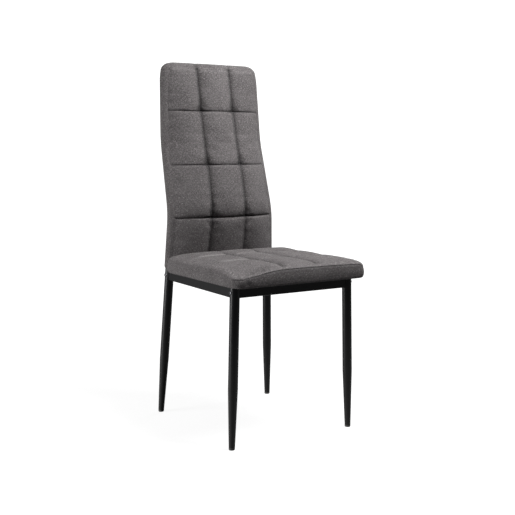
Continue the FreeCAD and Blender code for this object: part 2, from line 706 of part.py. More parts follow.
def bar_heights():
    """Middle heights of the back's cross bars: foot, lumbar and shoulder."""
    lowest = BACK_COVER_BOTTOM + FABRIC + BAR_HEIGHT
    return [lowest, LUMBAR_BEND_HEIGHT + 2 * BAR_HEIGHT, SHOULDER_BEND_HEIGHT + 3 * BAR_HEIGHT]


def spine_depth(height):
    """Depth of the spine at a height, read between its stations."""
    stations = spine_stations()
    for low, high in zip(stations, stations[1:]):
        if low.z <= height <= high.z:
            return along(low, high, height)
    raise ValueError("height %.1f is outside the back" % height)


def cross_bar(height):
    """Rectangular tube welded between the uprights behind the panel."""
    point = spine_depth(height)
    bar = hollow_bar(Vector(-point.x, point.y, height), Vector(point.x, point.y, height),
                     BAR_HEIGHT, BAR_DEPTH, BAR_WALL, BAR_WALL)
    spaces = [bent_rod(side, TUBE_RADIUS + WELD_GAP, TOTAL_HEIGHT - UPRIGHT_TOP_DROP) for side in SIDES.values()]
    bar = bar.cut(spaces)
    front = panel_strip(PANEL_REAR - WELD_GAP, 2 * BAR_DEPTH, 0)
    return bar.cut([front] + panel_screw_tools(WELD_GAP))


def top_tube_height():
    return TOTAL_HEIGHT - TOP_TUBE_DROP


def top_tube_ends():
    point = spine_depth(top_tube_height())
    return Vector(-point.x, point.y, point.z), Vector(point.x, point.y, point.z)


def top_tube_space():
    start, end = top_tube_ends()
    return rod(start, end, TOP_TUBE_DIAMETER / 2 + SKIN_CLEARANCE)


def back_top_tube():
    start, end = top_tube_ends()
    outer = rod(start, end, TOP_TUBE_DIAMETER / 2)
    inner = rod(start, end, TOP_TUBE_DIAMETER / 2 - TUBE_WALL)
    spaces = [bent_rod(side, TUBE_RADIUS + WELD_GAP, TOTAL_HEIGHT - UPRIGHT_TOP_DROP) for side in SIDES.values()]
    return outer.cut([inner] + spaces)


def panel_screw(centre, growth):
    """Pan-head screw that holds the panel to a cross bar."""
    back = Vector(0, 1, 0)
    seat = centre - back * PANEL_FRONT
    head = rod(seat - back * (PANEL_SCREW_HEAD + growth), seat, PANEL_SCREW_DIAMETER + growth)
    shank = rod(seat, centre, PANEL_SCREW_DIAMETER / 2 + growth)
    return head.fuse(shank)


def panel_screw_centres():
    centres = []
    for height in bar_heights():
        depth = spine_depth(height).y
        for x in (-PANEL_SCREW_SPACING / 2, PANEL_SCREW_SPACING / 2):
            centres.append(Vector(x, depth, height))
    return centres


def panel_screw_tools(growth):
    return [panel_screw(centre, growth) for centre in panel_screw_centres()]


def back_zip():
    """Coil zip that closes the sleeve along the bottom, between the uprights."""
    centre = spine_stations()[0]
    half = centre.x - COVER_RADIUS - ZIP_WIDTH
    low = Vector(-half, centre.y - ZIP_WIDTH / 2, BACK_COVER_BOTTOM - ZIP_THICKNESS)
    return Part.makeBox(2 * half, ZIP_WIDTH, ZIP_THICKNESS, low)


# ---- Plugs and glides -------------------------------------------------------
def leg_plug(side):
    """Cap that closes a front leg's top under the seat."""
    foot, rail = front_axis(side)
    top = along(foot, rail, RAIL_TOP)
    seat = along(foot, rail, RAIL_TOP - PLUG_THICKNESS)
    disc = rod(seat - UP, top + UP, TUBE_RADIUS).cut([below(seat.z), above(top.z)])
    stem = rod(along(foot, rail, seat.z - PLUG_STEM), seat + UP, TUBE_RADIUS - TUBE_WALL - STEM_CLEARANCE)
    plug = disc.fuse(stem.cut(above(top.z)))
    return plug.cut(bolt_opening(side, along(foot, rail, RAIL_MIDDLE)))


def upright_plug(side):
    """Cap in an upright's open upper end, inside the back's cover."""
    shoulder, top = spine(side)[2:]
    seat = along(shoulder, top, TOTAL_HEIGHT - UPRIGHT_TOP_DROP)
    direction = (top - shoulder).normalize()
    cap = turned([(0, -PLUG_STEM), (TUBE_RADIUS - TUBE_WALL - STEM_CLEARANCE, -PLUG_STEM),
                  (TUBE_RADIUS - TUBE_WALL - STEM_CLEARANCE, 0), (TUBE_RADIUS, 0),
                  (TUBE_RADIUS, PLUG_THICKNESS), (0, PLUG_THICKNESS)])
    return place_along(cap, seat, direction)


def glide(side, rear):
    """Push-in foot with a rim as wide as the tube's end, flat on the floor."""
    foot, rail = (spine(side)[:2] if rear else front_axis(side))
    rim = FOOT_DIAMETER / 2
    stem = rim - TUBE_WALL - STEM_CLEARANCE
    sole = rim - GLIDE_ROUNDING
    profile = [(0, -GLIDE_ROUNDING), (sole, -GLIDE_ROUNDING), (sole, GLIDE_ROUNDING), (rim, 2 * GLIDE_ROUNDING)]
    profile += [(rim, GLIDE_HEIGHT), (stem, GLIDE_HEIGHT), (stem, GLIDE_HEIGHT + GLIDE_STEM)]
    profile.append((0, GLIDE_HEIGHT + GLIDE_STEM))
    return place_along(turned(profile), foot, rail - foot).cut(below(0))


# ---- All pieces -------------------------------------------------------------
def one_per_side(name, make):
    return {name % label: make(side) for label, side in SIDES.items()}


def all_pieces():
    corners = [(side, rear) for side in SIDES.values() for rear in (False, True)]
    pieces = one_per_side("front_%s_leg", front_leg)
    pieces.update(one_per_side("rear_%s_upright", rear_upright))
    pieces.update(one_per_side("%s_side_rail", side_rail))
    pieces["front_rail"] = cross_rail(False)
    pieces["rear_rail"] = cross_rail(True)
    pieces["rail_bolts"] = [rail_bolt(side, rear) for side, rear in corners]
    pieces["rail_nut_inserts"] = [rail_insert(side, rear) for side, rear in corners]
    pieces.update(one_per_side("front_%s_bracket", seat_bracket))
    pieces["seat_rear_bar"] = seat_rear_bar()
    pieces.update(one_per_side("front_%s_leg_plug", leg_plug))
    pieces.update(one_per_side("upright_%s_plug", upright_plug))
    for label, side in SIDES.items():
        pieces["front_%s_glide" % label] = glide(side, False)
        pieces["rear_%s_glide" % label] = glide(side, True)
    pieces["seat_board"] = seat_board()
    pieces["seat_foam"] = seat_foam()
    pieces["seat_cover"] = seat_cover()
    pieces["seat_dust_cover"] = dust_cover()
    pieces["seat_staples"] = seat_staples()
    pieces["seat_t_nuts"] = t_nuts()
    pieces["seat_screws"] = seat_screws()
    pieces["seat_screw_washers"] = seat_washers()
    pieces["back_top_tube"] = back_top_tube()
    for label, height in zip(("lower", "lumbar", "shoulder"), bar_heights()):
        pieces["back_%s_bar" % label] = cross_bar(height)
    pieces["back_panel"] = back_panel()
    pieces["back_panel_screws"] = panel_screw_tools(0)
    pieces["back_foam"] = back_foam()
    pieces["back_cover"] = back_cover()
    pieces["back_zip"] = back_zip()
    return pieces


def export(pieces):
    """Move every piece so the origin is mid-depth, and write one STEP file for each."""
    os.makedirs("parts", exist_ok=True)
    depth = spine(1)[3].y + COVER_RADIUS
    for name, made in pieces.items():
        shapes = made if isinstance(made, list) else [made]
        solids = [solid for shape in shapes for solid in shape.Solids]
        moved = Part.makeCompound(solids) if len(solids) > 1 else solids[0]
        moved = moved.copy()
        moved.translate(Vector(0, -depth / 2, 0))
        moved.exportStep("parts/%s.step" % name)
        box = moved.BoundBox
        print("%-22s %2d %s %10.1f  x %7.1f %7.1f  y %7.1f %7.1f  z %6.1f %6.1f" % (
            name, len(solids), moved.isValid(), moved.Volume,
            box.XMin, box.XMax, box.YMin, box.YMax, box.ZMin, box.ZMax))


export(all_pieces())
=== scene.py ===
import bmesh
import bpy
import math
import numpy as np
from mathutils import Matrix, Vector


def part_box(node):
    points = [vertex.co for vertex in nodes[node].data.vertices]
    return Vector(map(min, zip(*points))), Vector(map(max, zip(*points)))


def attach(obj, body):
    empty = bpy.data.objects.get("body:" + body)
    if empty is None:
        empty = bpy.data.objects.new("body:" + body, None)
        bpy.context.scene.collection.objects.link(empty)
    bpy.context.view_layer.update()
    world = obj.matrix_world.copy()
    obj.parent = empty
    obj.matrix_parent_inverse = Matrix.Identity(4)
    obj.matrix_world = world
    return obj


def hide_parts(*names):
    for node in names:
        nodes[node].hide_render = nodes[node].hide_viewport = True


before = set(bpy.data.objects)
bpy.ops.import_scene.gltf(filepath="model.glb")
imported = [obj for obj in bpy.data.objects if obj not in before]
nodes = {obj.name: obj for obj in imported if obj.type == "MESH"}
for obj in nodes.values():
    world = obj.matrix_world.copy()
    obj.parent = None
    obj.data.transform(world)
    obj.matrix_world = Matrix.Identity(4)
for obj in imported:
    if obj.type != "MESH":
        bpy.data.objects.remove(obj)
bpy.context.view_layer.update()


# ---------------------------------------------------------------------------
# Camera: at the chair's front left corner, a little above the back's middle,
# turned towards the seat and tipped slightly down.
# ---------------------------------------------------------------------------
camera_data = bpy.data.cameras.new("camera")
camera = bpy.data.objects.new("camera", camera_data)
bpy.context.scene.collection.objects.link(camera)
camera.location = (-1.2970, -2.0788, 0.7404)
camera.rotation_euler = (math.radians(83.2), 0.0, math.radians(-32.33))
camera_data.lens = 63.71
camera_data.sensor_width = 36.0
camera_data.shift_x = -0.001
camera_data.shift_y = 0.001
bpy.context.scene.camera = camera


# ---------------------------------------------------------------------------
# Frame: legs, uprights, rails, bars and brackets of mild steel tube and plate,
# powder coated satin black. The side rails are welded to the legs, and the front
# and rear rails are drawn up to them with one bolt at each end.
# ---------------------------------------------------------------------------
def add(tree, kind, inputs=None, **settings):
    """New shader node with its settings, and its inputs set or linked."""
    made = tree.nodes.new(kind)
    for name, value in settings.items():
        setattr(made, name, value)
    for key, value in (inputs or {}).items():
        if isinstance(value, bpy.types.NodeSocket):
            tree.links.new(value, made.inputs[key])
        else:
            made.inputs[key].default_value = value
    return made


def new_group(name, inputs, outputs):
    """Empty node group with named sockets, and its two end nodes."""
    tree = bpy.data.node_groups.new(name, "ShaderNodeTree")
    for label, kind, value in inputs:
        socket = tree.interface.new_socket(label, in_out="INPUT", socket_type=kind)
        if value is not None:
            socket.default_value = value
    for label, kind in outputs:
        tree.interface.new_socket(label, in_out="OUTPUT", socket_type=kind)
    return tree, tree.nodes.new("NodeGroupInput"), tree.nodes.new("NodeGroupOutput")


def new_material(name, **constants):
    """Material with a Principled shader whose constant sockets are set directly."""
    material = bpy.data.materials.new(name)
    material.use_nodes = True
    shader = material.node_tree.nodes["Principled BSDF"]
    for key, value in constants.items():
        shader.inputs[key.replace("_", " ")].default_value = value
    return material, material.node_tree, shader


def noise_value(tree, vector, scale, detail=2.0, roughness=0.5):
    made = add(tree, "ShaderNodeTexNoise", {"Vector": vector, "Scale": scale, "Detail": detail,
                                            "Roughness": roughness})
    return made.outputs["Fac"]


def remap(tree, value, low, high, to_low, to_high):
    made = add(tree, "ShaderNodeMapRange", {0: value, 1: low, 2: high, 3: to_low, 4: to_high})
    return made.outputs[0]


def maths(tree, operation, first, second=0.0, clamp=False):
    return add(tree, "ShaderNodeMath", {0: first, 1: second}, operation=operation, use_clamp=clamp).outputs[0]


def mixed(tree, factor, first, second):
    made = add(tree, "ShaderNodeMix", {"Factor": factor}, data_type="RGBA")
    for key, colour in ((6, first), (7, second)):
        if isinstance(colour, bpy.types.NodeSocket):
            tree.links.new(colour, made.inputs[key])
        else:
            made.inputs[key].default_value = colour
    return made.outputs[2]


def bumped(tree, height, distance, strength=1.0):
    return add(tree, "ShaderNodeBump", {"Height": height, "Distance": distance,
                                        "Strength": strength}).outputs["Normal"]


def make_coating_group():
    """Orange peel, dust, and a lightening towards the floor that is partly scuffs and partly a painted
    reflection of the floor.
    """
    tree, source, end = new_group(
        "coating_surface",
        [("Vector", "NodeSocketVector", None), ("Peel size", "NodeSocketFloat", 700.0),
         ("Scuff height", "NodeSocketFloat", 0.30)],
        [("Peel", "NodeSocketFloat"), ("Dust", "NodeSocketFloat"), ("Scuff and floor reflection", "NodeSocketFloat")])
    vector = source.outputs["Vector"]
    peel = add(tree, "ShaderNodeTexNoise", {"Vector": vector, "Scale": source.outputs["Peel size"],
                                            "Detail": 1.5})
    cloud = noise_value(tree, vector, 23.0, 4.0, 0.62)
    normal = add(tree, "ShaderNodeNewGeometry").outputs["Normal"]
    upward = add(tree, "ShaderNodeSeparateXYZ", {0: normal}).outputs["Z"]
    settled = remap(tree, cloud, 0.38, 0.7, 0.0, 1.0)
    dust = maths(tree, "MULTIPLY", remap(tree, upward, 0.1, 1.0, 0.0, 1.0), settled)
    height = add(tree, "ShaderNodeSeparateXYZ", {0: vector}).outputs["Z"]
    streak = add(tree, "ShaderNodeVectorMath", {0: vector, 1: (220.0, 220.0, 1400.0)}, operation="MULTIPLY")
    scratch = remap(tree, noise_value(tree, streak.outputs[0], 1.0, 3.0, 0.6), 0.6, 0.72, 0.0, 1.0)
    # Lightening towards the floor: the scratches are real scuffing, and the even part is a painted reflection
    # of the pale floor.
    low = add(tree, "ShaderNodeMapRange", {0: height, 1: 0.0, 2: source.outputs["Scuff height"],
                                           3: 1.0, 4: 0.0})
    scuff_and_floor_reflection = maths(tree, "MULTIPLY", maths(tree, "ADD", scratch, 0.45), low.outputs[0], clamp=True)
    tree.links.new(peel.outputs["Fac"], end.inputs["Peel"])
    tree.links.new(dust, end.inputs["Dust"])
    tree.links.new(scuff_and_floor_reflection, end.inputs["Scuff and floor reflection"])
    return tree


coating_surface = make_coating_group()


def coated_material(name, colour, worn, roughness, peel, peel_depth, specular):
    """Painted or moulded finish built on the shared coating group."""
    material, tree, shader = new_material(name, Specular_IOR_Level=specular)
    vector = add(tree, "ShaderNodeTexCoord").outputs["Object"]
    surface = add(tree, "ShaderNodeGroup", {"Vector": vector, "Peel size": peel}, node_tree=coating_surface)
    dusty = mixed(tree, maths(tree, "MULTIPLY", surface.outputs["Dust"], 0.15), colour, worn)
    # Dust and scuffs mix towards the worn tone; near the floor this is partly a painted reflection of the
    # floor.
    tint = mixed(tree, maths(tree, "MULTIPLY", surface.outputs["Scuff and floor reflection"], 0.5), dusty, worn)
    tree.links.new(tint, shader.inputs["Base Color"])
    spread = remap(tree, noise_value(tree, vector, 60.0, 3.0), 0.3, 0.7, roughness - 0.05, roughness + 0.06)
    rough = maths(tree, "ADD", spread, maths(tree, "MULTIPLY", surface.outputs["Scuff and floor reflection"], 0.2), clamp=True)
    tree.links.new(rough, shader.inputs["Roughness"])
    tree.links.new(bumped(tree, surface.outputs["Peel"], peel_depth), shader.inputs["Normal"])
    return material


def finish_node(name, material):
    """Give a CAD node its detailed material."""
    piece = nodes[name]
    piece.data.materials.clear()
    piece.data.materials.append(material)


black_powder_coat = coated_material("black_powder_coat", colour=(0.0022, 0.0022, 0.0026, 1),
                                    worn=(0.06, 0.059, 0.057, 1), roughness=0.35, peel=850.0,
                                    peel_depth=0.00004, specular=0.13)
frame_nodes = ["front_left_leg", "front_right_leg", "rear_left_upright", "rear_right_upright",
               "front_rail", "rear_rail", "left_side_rail", "right_side_rail", "seat_rear_bar",
               "front_left_bracket", "front_right_bracket", "back_top_tube", "back_lower_bar",
               "back_lumbar_bar", "back_shoulder_bar"]
for name in frame_nodes:
    finish_node(name, black_powder_coat)

WELD_RADIUS = 0.0020
WELD_PITCH = 0.0015
WELD_FLATTENING = 0.75


def link_mesh(name, mesh, shade=True):
    """Turn a bmesh into an object of the scene."""
    data = bpy.data.meshes.new(name)
    mesh.to_mesh(data)
    mesh.free()
    if shade:
        data.shade_smooth()
    piece = bpy.data.objects.new(name, data)
    bpy.context.scene.collection.objects.link(piece)
    return piece


def weld_bead(mesh, x, y, low, high):
    """Upright run of overlapping ripples, where a rail's inner face meets a leg."""
    count = round((high - low - 2 * WELD_RADIUS) / WELD_PITCH)
    for ripple in range(count + 1):
        made = bmesh.ops.create_uvsphere(mesh, u_segments=8, v_segments=6, radius=WELD_RADIUS)["verts"]
        bmesh.ops.scale(mesh, verts=made, vec=(1.0, 1.0, WELD_FLATTENING))
        bmesh.ops.translate(mesh, verts=made, vec=(x, y, low + WELD_RADIUS + ripple * WELD_PITCH))


weld_mesh = bmesh.new()
for name, inner in (("left_side_rail", 1), ("right_side_rail", 0)):
    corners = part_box(name)
    for end in corners:
        weld_bead(weld_mesh, corners[inner][0], end[1], corners[0][2], corners[1][2])
weld_beads = link_mesh("weld_beads", weld_mesh)
weld_beads.data.materials.append(black_powder_coat)
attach(weld_beads, "root")


# ---------------------------------------------------------------------------
# Bolts, screws, washers and staples: turned or headed steel, plated black zinc
# where it shows and bright zinc where it is hidden.
# ---------------------------------------------------------------------------
def plated_material(name, colour, tarnish, roughness):
    material, tree, shader = new_material(name, Metallic=1.0)
    vector = add(tree, "ShaderNodeTexCoord").outputs["Object"]
    cloud = remap(tree, noise_value(tree, vector, 320.0, 4.0, 0.65), 0.35, 0.68, 0.0, 1.0)
    tree.links.new(mixed(tree, cloud, colour, tarnish), shader.inputs["Base Color"])
    fine = noise_value(tree, vector, 2600.0, 2.0)
    tree.links.new(remap(tree, fine, 0.3, 0.7, roughness - 0.07, roughness + 0.1), shader.inputs["Roughness"])
    tree.links.new(bumped(tree, fine, 0.00002), shader.inputs["Normal"])
    return material


black_zinc = plated_material("black_zinc", colour=(0.16, 0.16, 0.17, 1), tarnish=(0.08, 0.08, 0.085, 1),
                             roughness=0.28)
bright_zinc = plated_material("bright_zinc", colour=(0.66, 0.66, 0.63, 1), tarnish=(0.48, 0.46, 0.42, 1),
                              roughness=0.34)
finish_node("rail_bolts", black_zinc)
for name in ("rail_nut_inserts", "seat_screws", "seat_screw_washers", "seat_t_nuts", "seat_staples",
             "back_panel_screws"):
    finish_node(name, bright_zinc)


# ---------------------------------------------------------------------------
# Glides and tube plugs: injection-moulded black polyethylene, pushed into the
# open tube ends, matt with a fine spark-eroded grain.
# ---------------------------------------------------------------------------
moulded_black = coated_material("moulded_black", colour=(0.012, 0.012, 0.012, 1),
                                worn=(0.1, 0.098, 0.094, 1), roughness=0.55, peel=2400.0,
                                peel_depth=0.00003, specular=0.35)
for side in ("left", "right"):
    for name in ("front_%s_glide", "rear_%s_glide", "front_%s_leg_plug", "upright_%s_plug"):
        finish_node(name % side, moulded_black)


# ---------------------------------------------------------------------------
# Seat board of birch plywood, back panel of hardboard, and the foam pads: all
# hidden when the chair is finished, but real pieces with their own finishes.
# ---------------------------------------------------------------------------
def wood_material(name, pale, dark, stretch, roughness):
    material, tree, shader = new_material(name)
    vector = add(tree, "ShaderNodeTexCoord").outputs["Object"]
    along_grain = add(tree, "ShaderNodeVectorMath", {0: vector, 1: stretch}, operation="MULTIPLY").outputs[0]
    grain = noise_value(tree, along_grain, 1.0, 5.0, 0.6)
    tint = mixed(tree, remap(tree, grain, 0.35, 0.65, 0.0, 1.0), pale, dark)
    tree.links.new(tint, shader.inputs["Base Color"])
    tree.links.new(remap(tree, grain, 0.3, 0.7, roughness, roughness + 0.15), shader.inputs["Roughness"])
    tree.links.new(bumped(tree, grain, 0.0001), shader.inputs["Normal"])
    return material


birch_ply = wood_material("birch_ply", pale=(0.62, 0.44, 0.27, 1), dark=(0.46, 0.3, 0.17, 1),
                          stretch=(9.0, 160.0, 420.0), roughness=0.6)
hardboard = wood_material("hardboard", pale=(0.3, 0.19, 0.11, 1), dark=(0.2, 0.12, 0.07, 1),
                          stretch=(240.0, 240.0, 240.0), roughness=0.7)
finish_node("seat_board", birch_ply)
finish_node("back_panel", hardboard)


def foam_material():
    material, tree, shader = new_material("cut_foam")
    vector = add(tree, "ShaderNodeTexCoord").outputs["Object"]
    cells = add(tree, "ShaderNodeTexVoronoi", {"Vector": vector, "Scale": 900.0}).outputs["Distance"]
    age = remap(tree, noise_value(tree, vector, 12.0, 3.0), 0.35, 0.65, 0.0, 1.0)
    tint = mixed(tree, age, (0.86, 0.82, 0.66, 1), (0.8, 0.7, 0.48, 1))
    tree.links.new(mixed(tree, maths(tree, "MULTIPLY", cells, 0.5), tint, (0.55, 0.48, 0.34, 1)),
                   shader.inputs["Base Color"])
    tree.links.new(remap(tree, cells, 0.0, 0.6, 0.8, 0.95), shader.inputs["Roughness"])
    tree.links.new(bumped(tree, cells, 0.0006), shader.inputs["Normal"])
    return material


cut_foam = foam_material()
finish_node("back_foam", cut_foam)
finish_node("seat_foam", cut_foam)


# ---------------------------------------------------------------------------
# Dust cover: thin black spun-bonded cloth stapled over the underside of the
# seat, with a faint embossed dot pattern and a few loose fibres.
# ---------------------------------------------------------------------------
def lining_material():
    material, tree, shader = new_material("black_lining", Sheen_Weight=0.15)
    vector = add(tree, "ShaderNodeTexCoord").outputs["Object"]
    flat = add(tree, "ShaderNodeVectorMath", {0: vector, 1: (1.0, 1.0, 0.0)}, operation="MULTIPLY").outputs[0]
    dots = add(tree, "ShaderNodeTexVoronoi", {"Vector": flat, "Scale": 620.0, "Randomness": 0.15})
    fibre = noise_value(tree, vector, 1500.0, 4.0, 0.7)
    height = maths(tree, "ADD", dots.outputs["Distance"], fibre)
    tree.links.new(mixed(tree, fibre, (0.008, 0.008, 0.008, 1), (0.035, 0.035, 0.036, 1)),
                   shader.inputs["Base Color"])
    tree.links.new(remap(tree, fibre, 0.3, 0.7, 0.7, 0.9), shader.inputs["Roughness"])
    tree.links.new(bumped(tree, height, 0.00015), shader.inputs["Normal"])
    return material


finish_node("seat_dust_cover", lining_material())


# ---------------------------------------------------------------------------
# Seat: foam pad in a quilted cover of grey linen-look polyester, three squares
# by three, sewn through with narrow seams. The cover is pulled over the board's
# edges and its hem is stapled underneath.
# ---------------------------------------------------------------------------
def make_weave_group():
    """Plain weave of slubby two-tone yarn: tint, height, and how much thread lies open."""
    tree, source, end = new_group(
        "linen_weave",
        [("Vector", "NodeSocketVector", None), ("Threads per metre", "NodeSocketFloat", 1050.0)],
        [("Tint", "NodeSocketFloat"), ("Fleck", "NodeSocketFloat"), ("Height", "NodeSocketFloat")])
    pitch = source.outputs["Threads per metre"]
    wobble = add(tree, "ShaderNodeTexNoise", {"Vector": source.outputs["Vector"], "Scale": 160.0,
                                              "Detail": 2.0})
    drift = add(tree, "ShaderNodeVectorMath", {0: wobble.outputs["Color"], 1: (0.0009, 0.0009, 0.0)},
                operation="MULTIPLY").outputs[0]
    bent = add(tree, "ShaderNodeVectorMath", {0: source.outputs["Vector"], 1: drift},
               operation="ADD").outputs[0]
    threads = add(tree, "ShaderNodeVectorMath", {0: bent, "Scale": pitch}, operation="SCALE").outputs[0]
    parts = add(tree, "ShaderNodeSeparateXYZ", {0: threads})
    over = add(tree, "ShaderNodeTexChecker", {"Vector": threads, "Scale": 1.0}).outputs["Fac"]

    def round_of(value):
        wave = maths(tree, "SINE", maths(tree, "MULTIPLY", value, math.pi))
        return maths(tree, "POWER", maths(tree, "ABSOLUTE", wave), 0.6)

    across, along = round_of(parts.outputs["X"]), round_of(parts.outputs["Y"])

    def thread_height(ridge, crest):
        dip = maths(tree, "ADD", maths(tree, "MULTIPLY", crest, 0.45), 0.55)
        return maths(tree, "MULTIPLY", ridge, dip)

    warp_height, weft_height = thread_height(across, along), thread_height(along, across)
    height = add(tree, "ShaderNodeMix", {"Factor": over, 2: weft_height, 3: warp_height}).outputs[0]

    def slub(stretch, detail):
        place = add(tree, "ShaderNodeVectorMath", {0: threads, 1: stretch}, operation="MULTIPLY").outputs[0]
        return noise_value(tree, place, 1.0, detail, 0.6)

    warp_tint, weft_tint = slub((1.3, 0.11, 0.0), 2.0), slub((0.11, 1.3, 0.0), 2.0)
    tint = add(tree, "ShaderNodeMix", {"Factor": over, 2: weft_tint, 3: warp_tint}).outputs[0]
    warp_fleck, weft_fleck = slub((0.55, 0.16, 3.0), 1.0), slub((0.16, 0.55, 7.0), 1.0)
    fleck = add(tree, "ShaderNodeMix", {"Factor": over, 2: weft_fleck, 3: warp_fleck}).outputs[0]
    tree.links.new(remap(tree, tint, 0.3, 0.7, 0.0, 1.0), end.inputs["Tint"])
    tree.links.new(remap(tree, fleck, 0.52, 0.72, 0.0, 1.0), end.inputs["Fleck"])
    tree.links.new(height, end.inputs["Height"])
    return tree


linen_weave = make_weave_group()


def deepened(colour, share):
    """The same hue with only a share of its light."""
    return (*[channel * share for channel in colour[:3]], 1)


def woven_material(name, dark, middle, pale, sheen):
    """Heathered cloth that follows the piece's own UV map, in metres, with painted shade in pits and seams
    and a painted highlight on ridges.
    """
    material, tree, shader = new_material(name, Sheen_Weight=sheen, Sheen_Roughness=0.5,
                                          Specular_IOR_Level=0.1)
    vector = add(tree, "ShaderNodeTexCoord").outputs["UV"]
    weave = add(tree, "ShaderNodeGroup", {"Vector": vector}, node_tree=linen_weave)
    cloud = noise_value(tree, vector, 14.0, 4.0, 0.6)
    yarn = mixed(tree, weave.outputs["Tint"], dark, middle)
    flecked = mixed(tree, weave.outputs["Fleck"], yarn, pale)
    # Painted shade: the weave's low pits are darkened towards a deep copy of the dark yarn.
    painted_pit_shade = remap(tree, weave.outputs["Height"], 0.1, 0.6, 0.62, 0.0)
    shaded = mixed(tree, painted_pit_shade, flecked, deepened(dark, 0.35))
    worn = mixed(tree, remap(tree, cloud, 0.35, 0.7, 0.0, 0.12), shaded, pale)
    # Painted seam light: positive values darken seams, folds and dents as painted shade; negative values
    # lighten ridges as a painted highlight.
    seam_shade_and_sheen = add(tree, "ShaderNodeAttribute", attribute_name="seam_shade_and_sheen").outputs["Fac"]
    painted_ridge_highlight = mixed(tree, maths(tree, "MULTIPLY", seam_shade_and_sheen, -0.6, clamp=True), worn, pale)
    painted_seam_shade = mixed(tree, maths(tree, "MULTIPLY", seam_shade_and_sheen, 0.85, clamp=True), painted_ridge_highlight, deepened(dark, 0.12))
    tree.links.new(painted_seam_shade, shader.inputs["Base Color"])
    tree.links.new(remap(tree, weave.outputs["Height"], 0.0, 1.0, 0.95, 0.8), shader.inputs["Roughness"])
    fuzz = noise_value(tree, vector, 5200.0, 2.0)
    relief = maths(tree, "ADD", weave.outputs["Height"], maths(tree, "MULTIPLY", fuzz, 0.35))
    tree.links.new(bumped(tree, relief, 0.00035, 0.8), shader.inputs["Normal"])
    return material


grey_linen = woven_material("grey_linen", dark=(0.031, 0.028, 0.029, 1), middle=(0.077, 0.0705, 0.0715, 1),
                            pale=(0.184, 0.174, 0.173, 1), sheen=0.004)


def eased(start, end, count, crowd):
    """Values from start to end, crowded towards both ends, without the last one."""
    share = np.arange(count) / count
    share = share - crowd * np.sin(2 * np.pi * share) / (2 * np.pi)
    return start + (end - start) * share


def smooth(value, low, high):
    """Soft step from 0 to 1 between two limits."""
    share = np.clip((value - low) / (high - low), 0.0, 1.0)
    return share * share * (3 - 2 * share)


def bell(gap, width):
    """1 on a line, falling smoothly away to either side."""
    return np.exp(-(gap / width) ** 2)


def pillow(share, sewn_end, fullness):
    """Swell across a stuffed square from a deep seam to another, or to a rounded loose edge."""
    reach = np.abs(2 * share - 1)
    sewn = 1 - reach ** fullness
    loose = 1 - 0.85 * reach ** 3
    return np.where((share > 0.5) & ~np.asarray(sewn_end), loose, sewn)


def bolster(share, hold):
    """Swell along a stuffed square between shallow seams, which hold it down only partly."""
    return 1 - hold * np.abs(2 * share - 1) ** 3.5


def read_points(mesh):
    points = np.empty(len(mesh.vertices) * 3)
    mesh.vertices.foreach_get("co", points)
    return points.reshape(-1, 3)


def write_points(mesh, points):
    mesh.vertices.foreach_set("co", np.asarray(points, dtype=np.float64).ravel())
    mesh.update()


def inflate(piece, held, pressure, slack, cap, steps=20):
    """Puff a closed cover out between its held points by cloth simulation, then limit it."""
    before = read_points(piece.data)
    group = piece.vertex_groups.new(name="held")
    for value in np.unique(held):
        group.add(np.nonzero(held == value)[0].tolist(), float(value), "REPLACE")
    cloth = piece.modifiers.new("puff", "CLOTH")
    settings = cloth.settings
    settings.vertex_group_mass = "held"
    settings.quality = 6
    settings.mass = 0.25
    settings.tension_stiffness = 12.0
    settings.compression_stiffness = 8.0
    settings.shear_stiffness = 4.0
    settings.bending_stiffness = 1.5
    settings.use_pressure = True
    settings.uniform_pressure_force = pressure
    settings.shrink_min = -slack
    settings.shrink_max = -slack
    settings.effector_weights.gravity = 0.0
    cloth.collision_settings.use_self_collision = False
    scene = bpy.context.scene
    for step in range(1, steps + 1):
        scene.frame_set(step)
    shown = piece.evaluated_get(bpy.context.evaluated_depsgraph_get())
    after = read_points(shown.data)
    piece.modifiers.remove(cloth)
    piece.vertex_groups.remove(group)
    scene.frame_set(1)
    shift = after - before
    size = np.linalg.norm(shift, axis=1, keepdims=True)
    limited = shift * (cap * np.tanh(size / cap) / np.maximum(size, 1e-9))
    write_points(piece.data, before + limited)


def rounded_render(piece):
    """One level of subdivision, the same on screen and in the render."""
    subdivision = piece.modifiers.new("fine", "SUBSURF")
    subdivision.levels = 1
    subdivision.render_levels = 1


seat_low, seat_high = [np.array(corner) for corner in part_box("seat_cover")]
SEAT_HALF = (seat_high[0] - seat_low[0]) / 2
SEAT_FRONT, SEAT_REAR = seat_low[1], seat_high[1]
SEAT_MIDDLE = (SEAT_FRONT + SEAT_REAR) / 2
SEAT_CORNER = 0.030
SEAT_SEAM_X = 0.056
SEAT_SEAM_ROWS = (-0.098, 0.032)
SEAT_SEAM_LEVEL = 0.4545
SEAT_PUFF = 0.0062
SEAT_UNDERSIDE = seat_low[2] + 0.0003
SEAT_HEM_WIDTH = 0.030
SEAT_TOP_INSET = 0.018
SEAT_BOX_FOOT = 0.004
SEAT_SHOULDER_LOWEST = 0.432
SEAT_EDGE_ROUND = 0.018
SEAT_FRONT_TIGHTER = 0.012
SEAT_CROWN = 0.003
SEAT_FRONT_FALL = 0.0015
SEAT_CORNER_SLACK = 0.013
SEAT_PIPING_GROOVE = 0.0022
SEAT_BOXING_TOP = 0.0026
SEAT_BOXING_BULGE = 0.0016
SEAT_PLEATED_RINGS = 3
SEAT_BOXING_RING = 6
SEAT_COLUMN_DEPTH = 0.0022
SEAT_VALLEY_DEPTH = 0.0015
SEAT_ROW_DEPTH = 0.0034
SEAT_PUCKER_DEPTH = 0.0070
SEAT_PUCKER_REACH = 0.012
SEAT_GATHER_PITCH = 0.0062
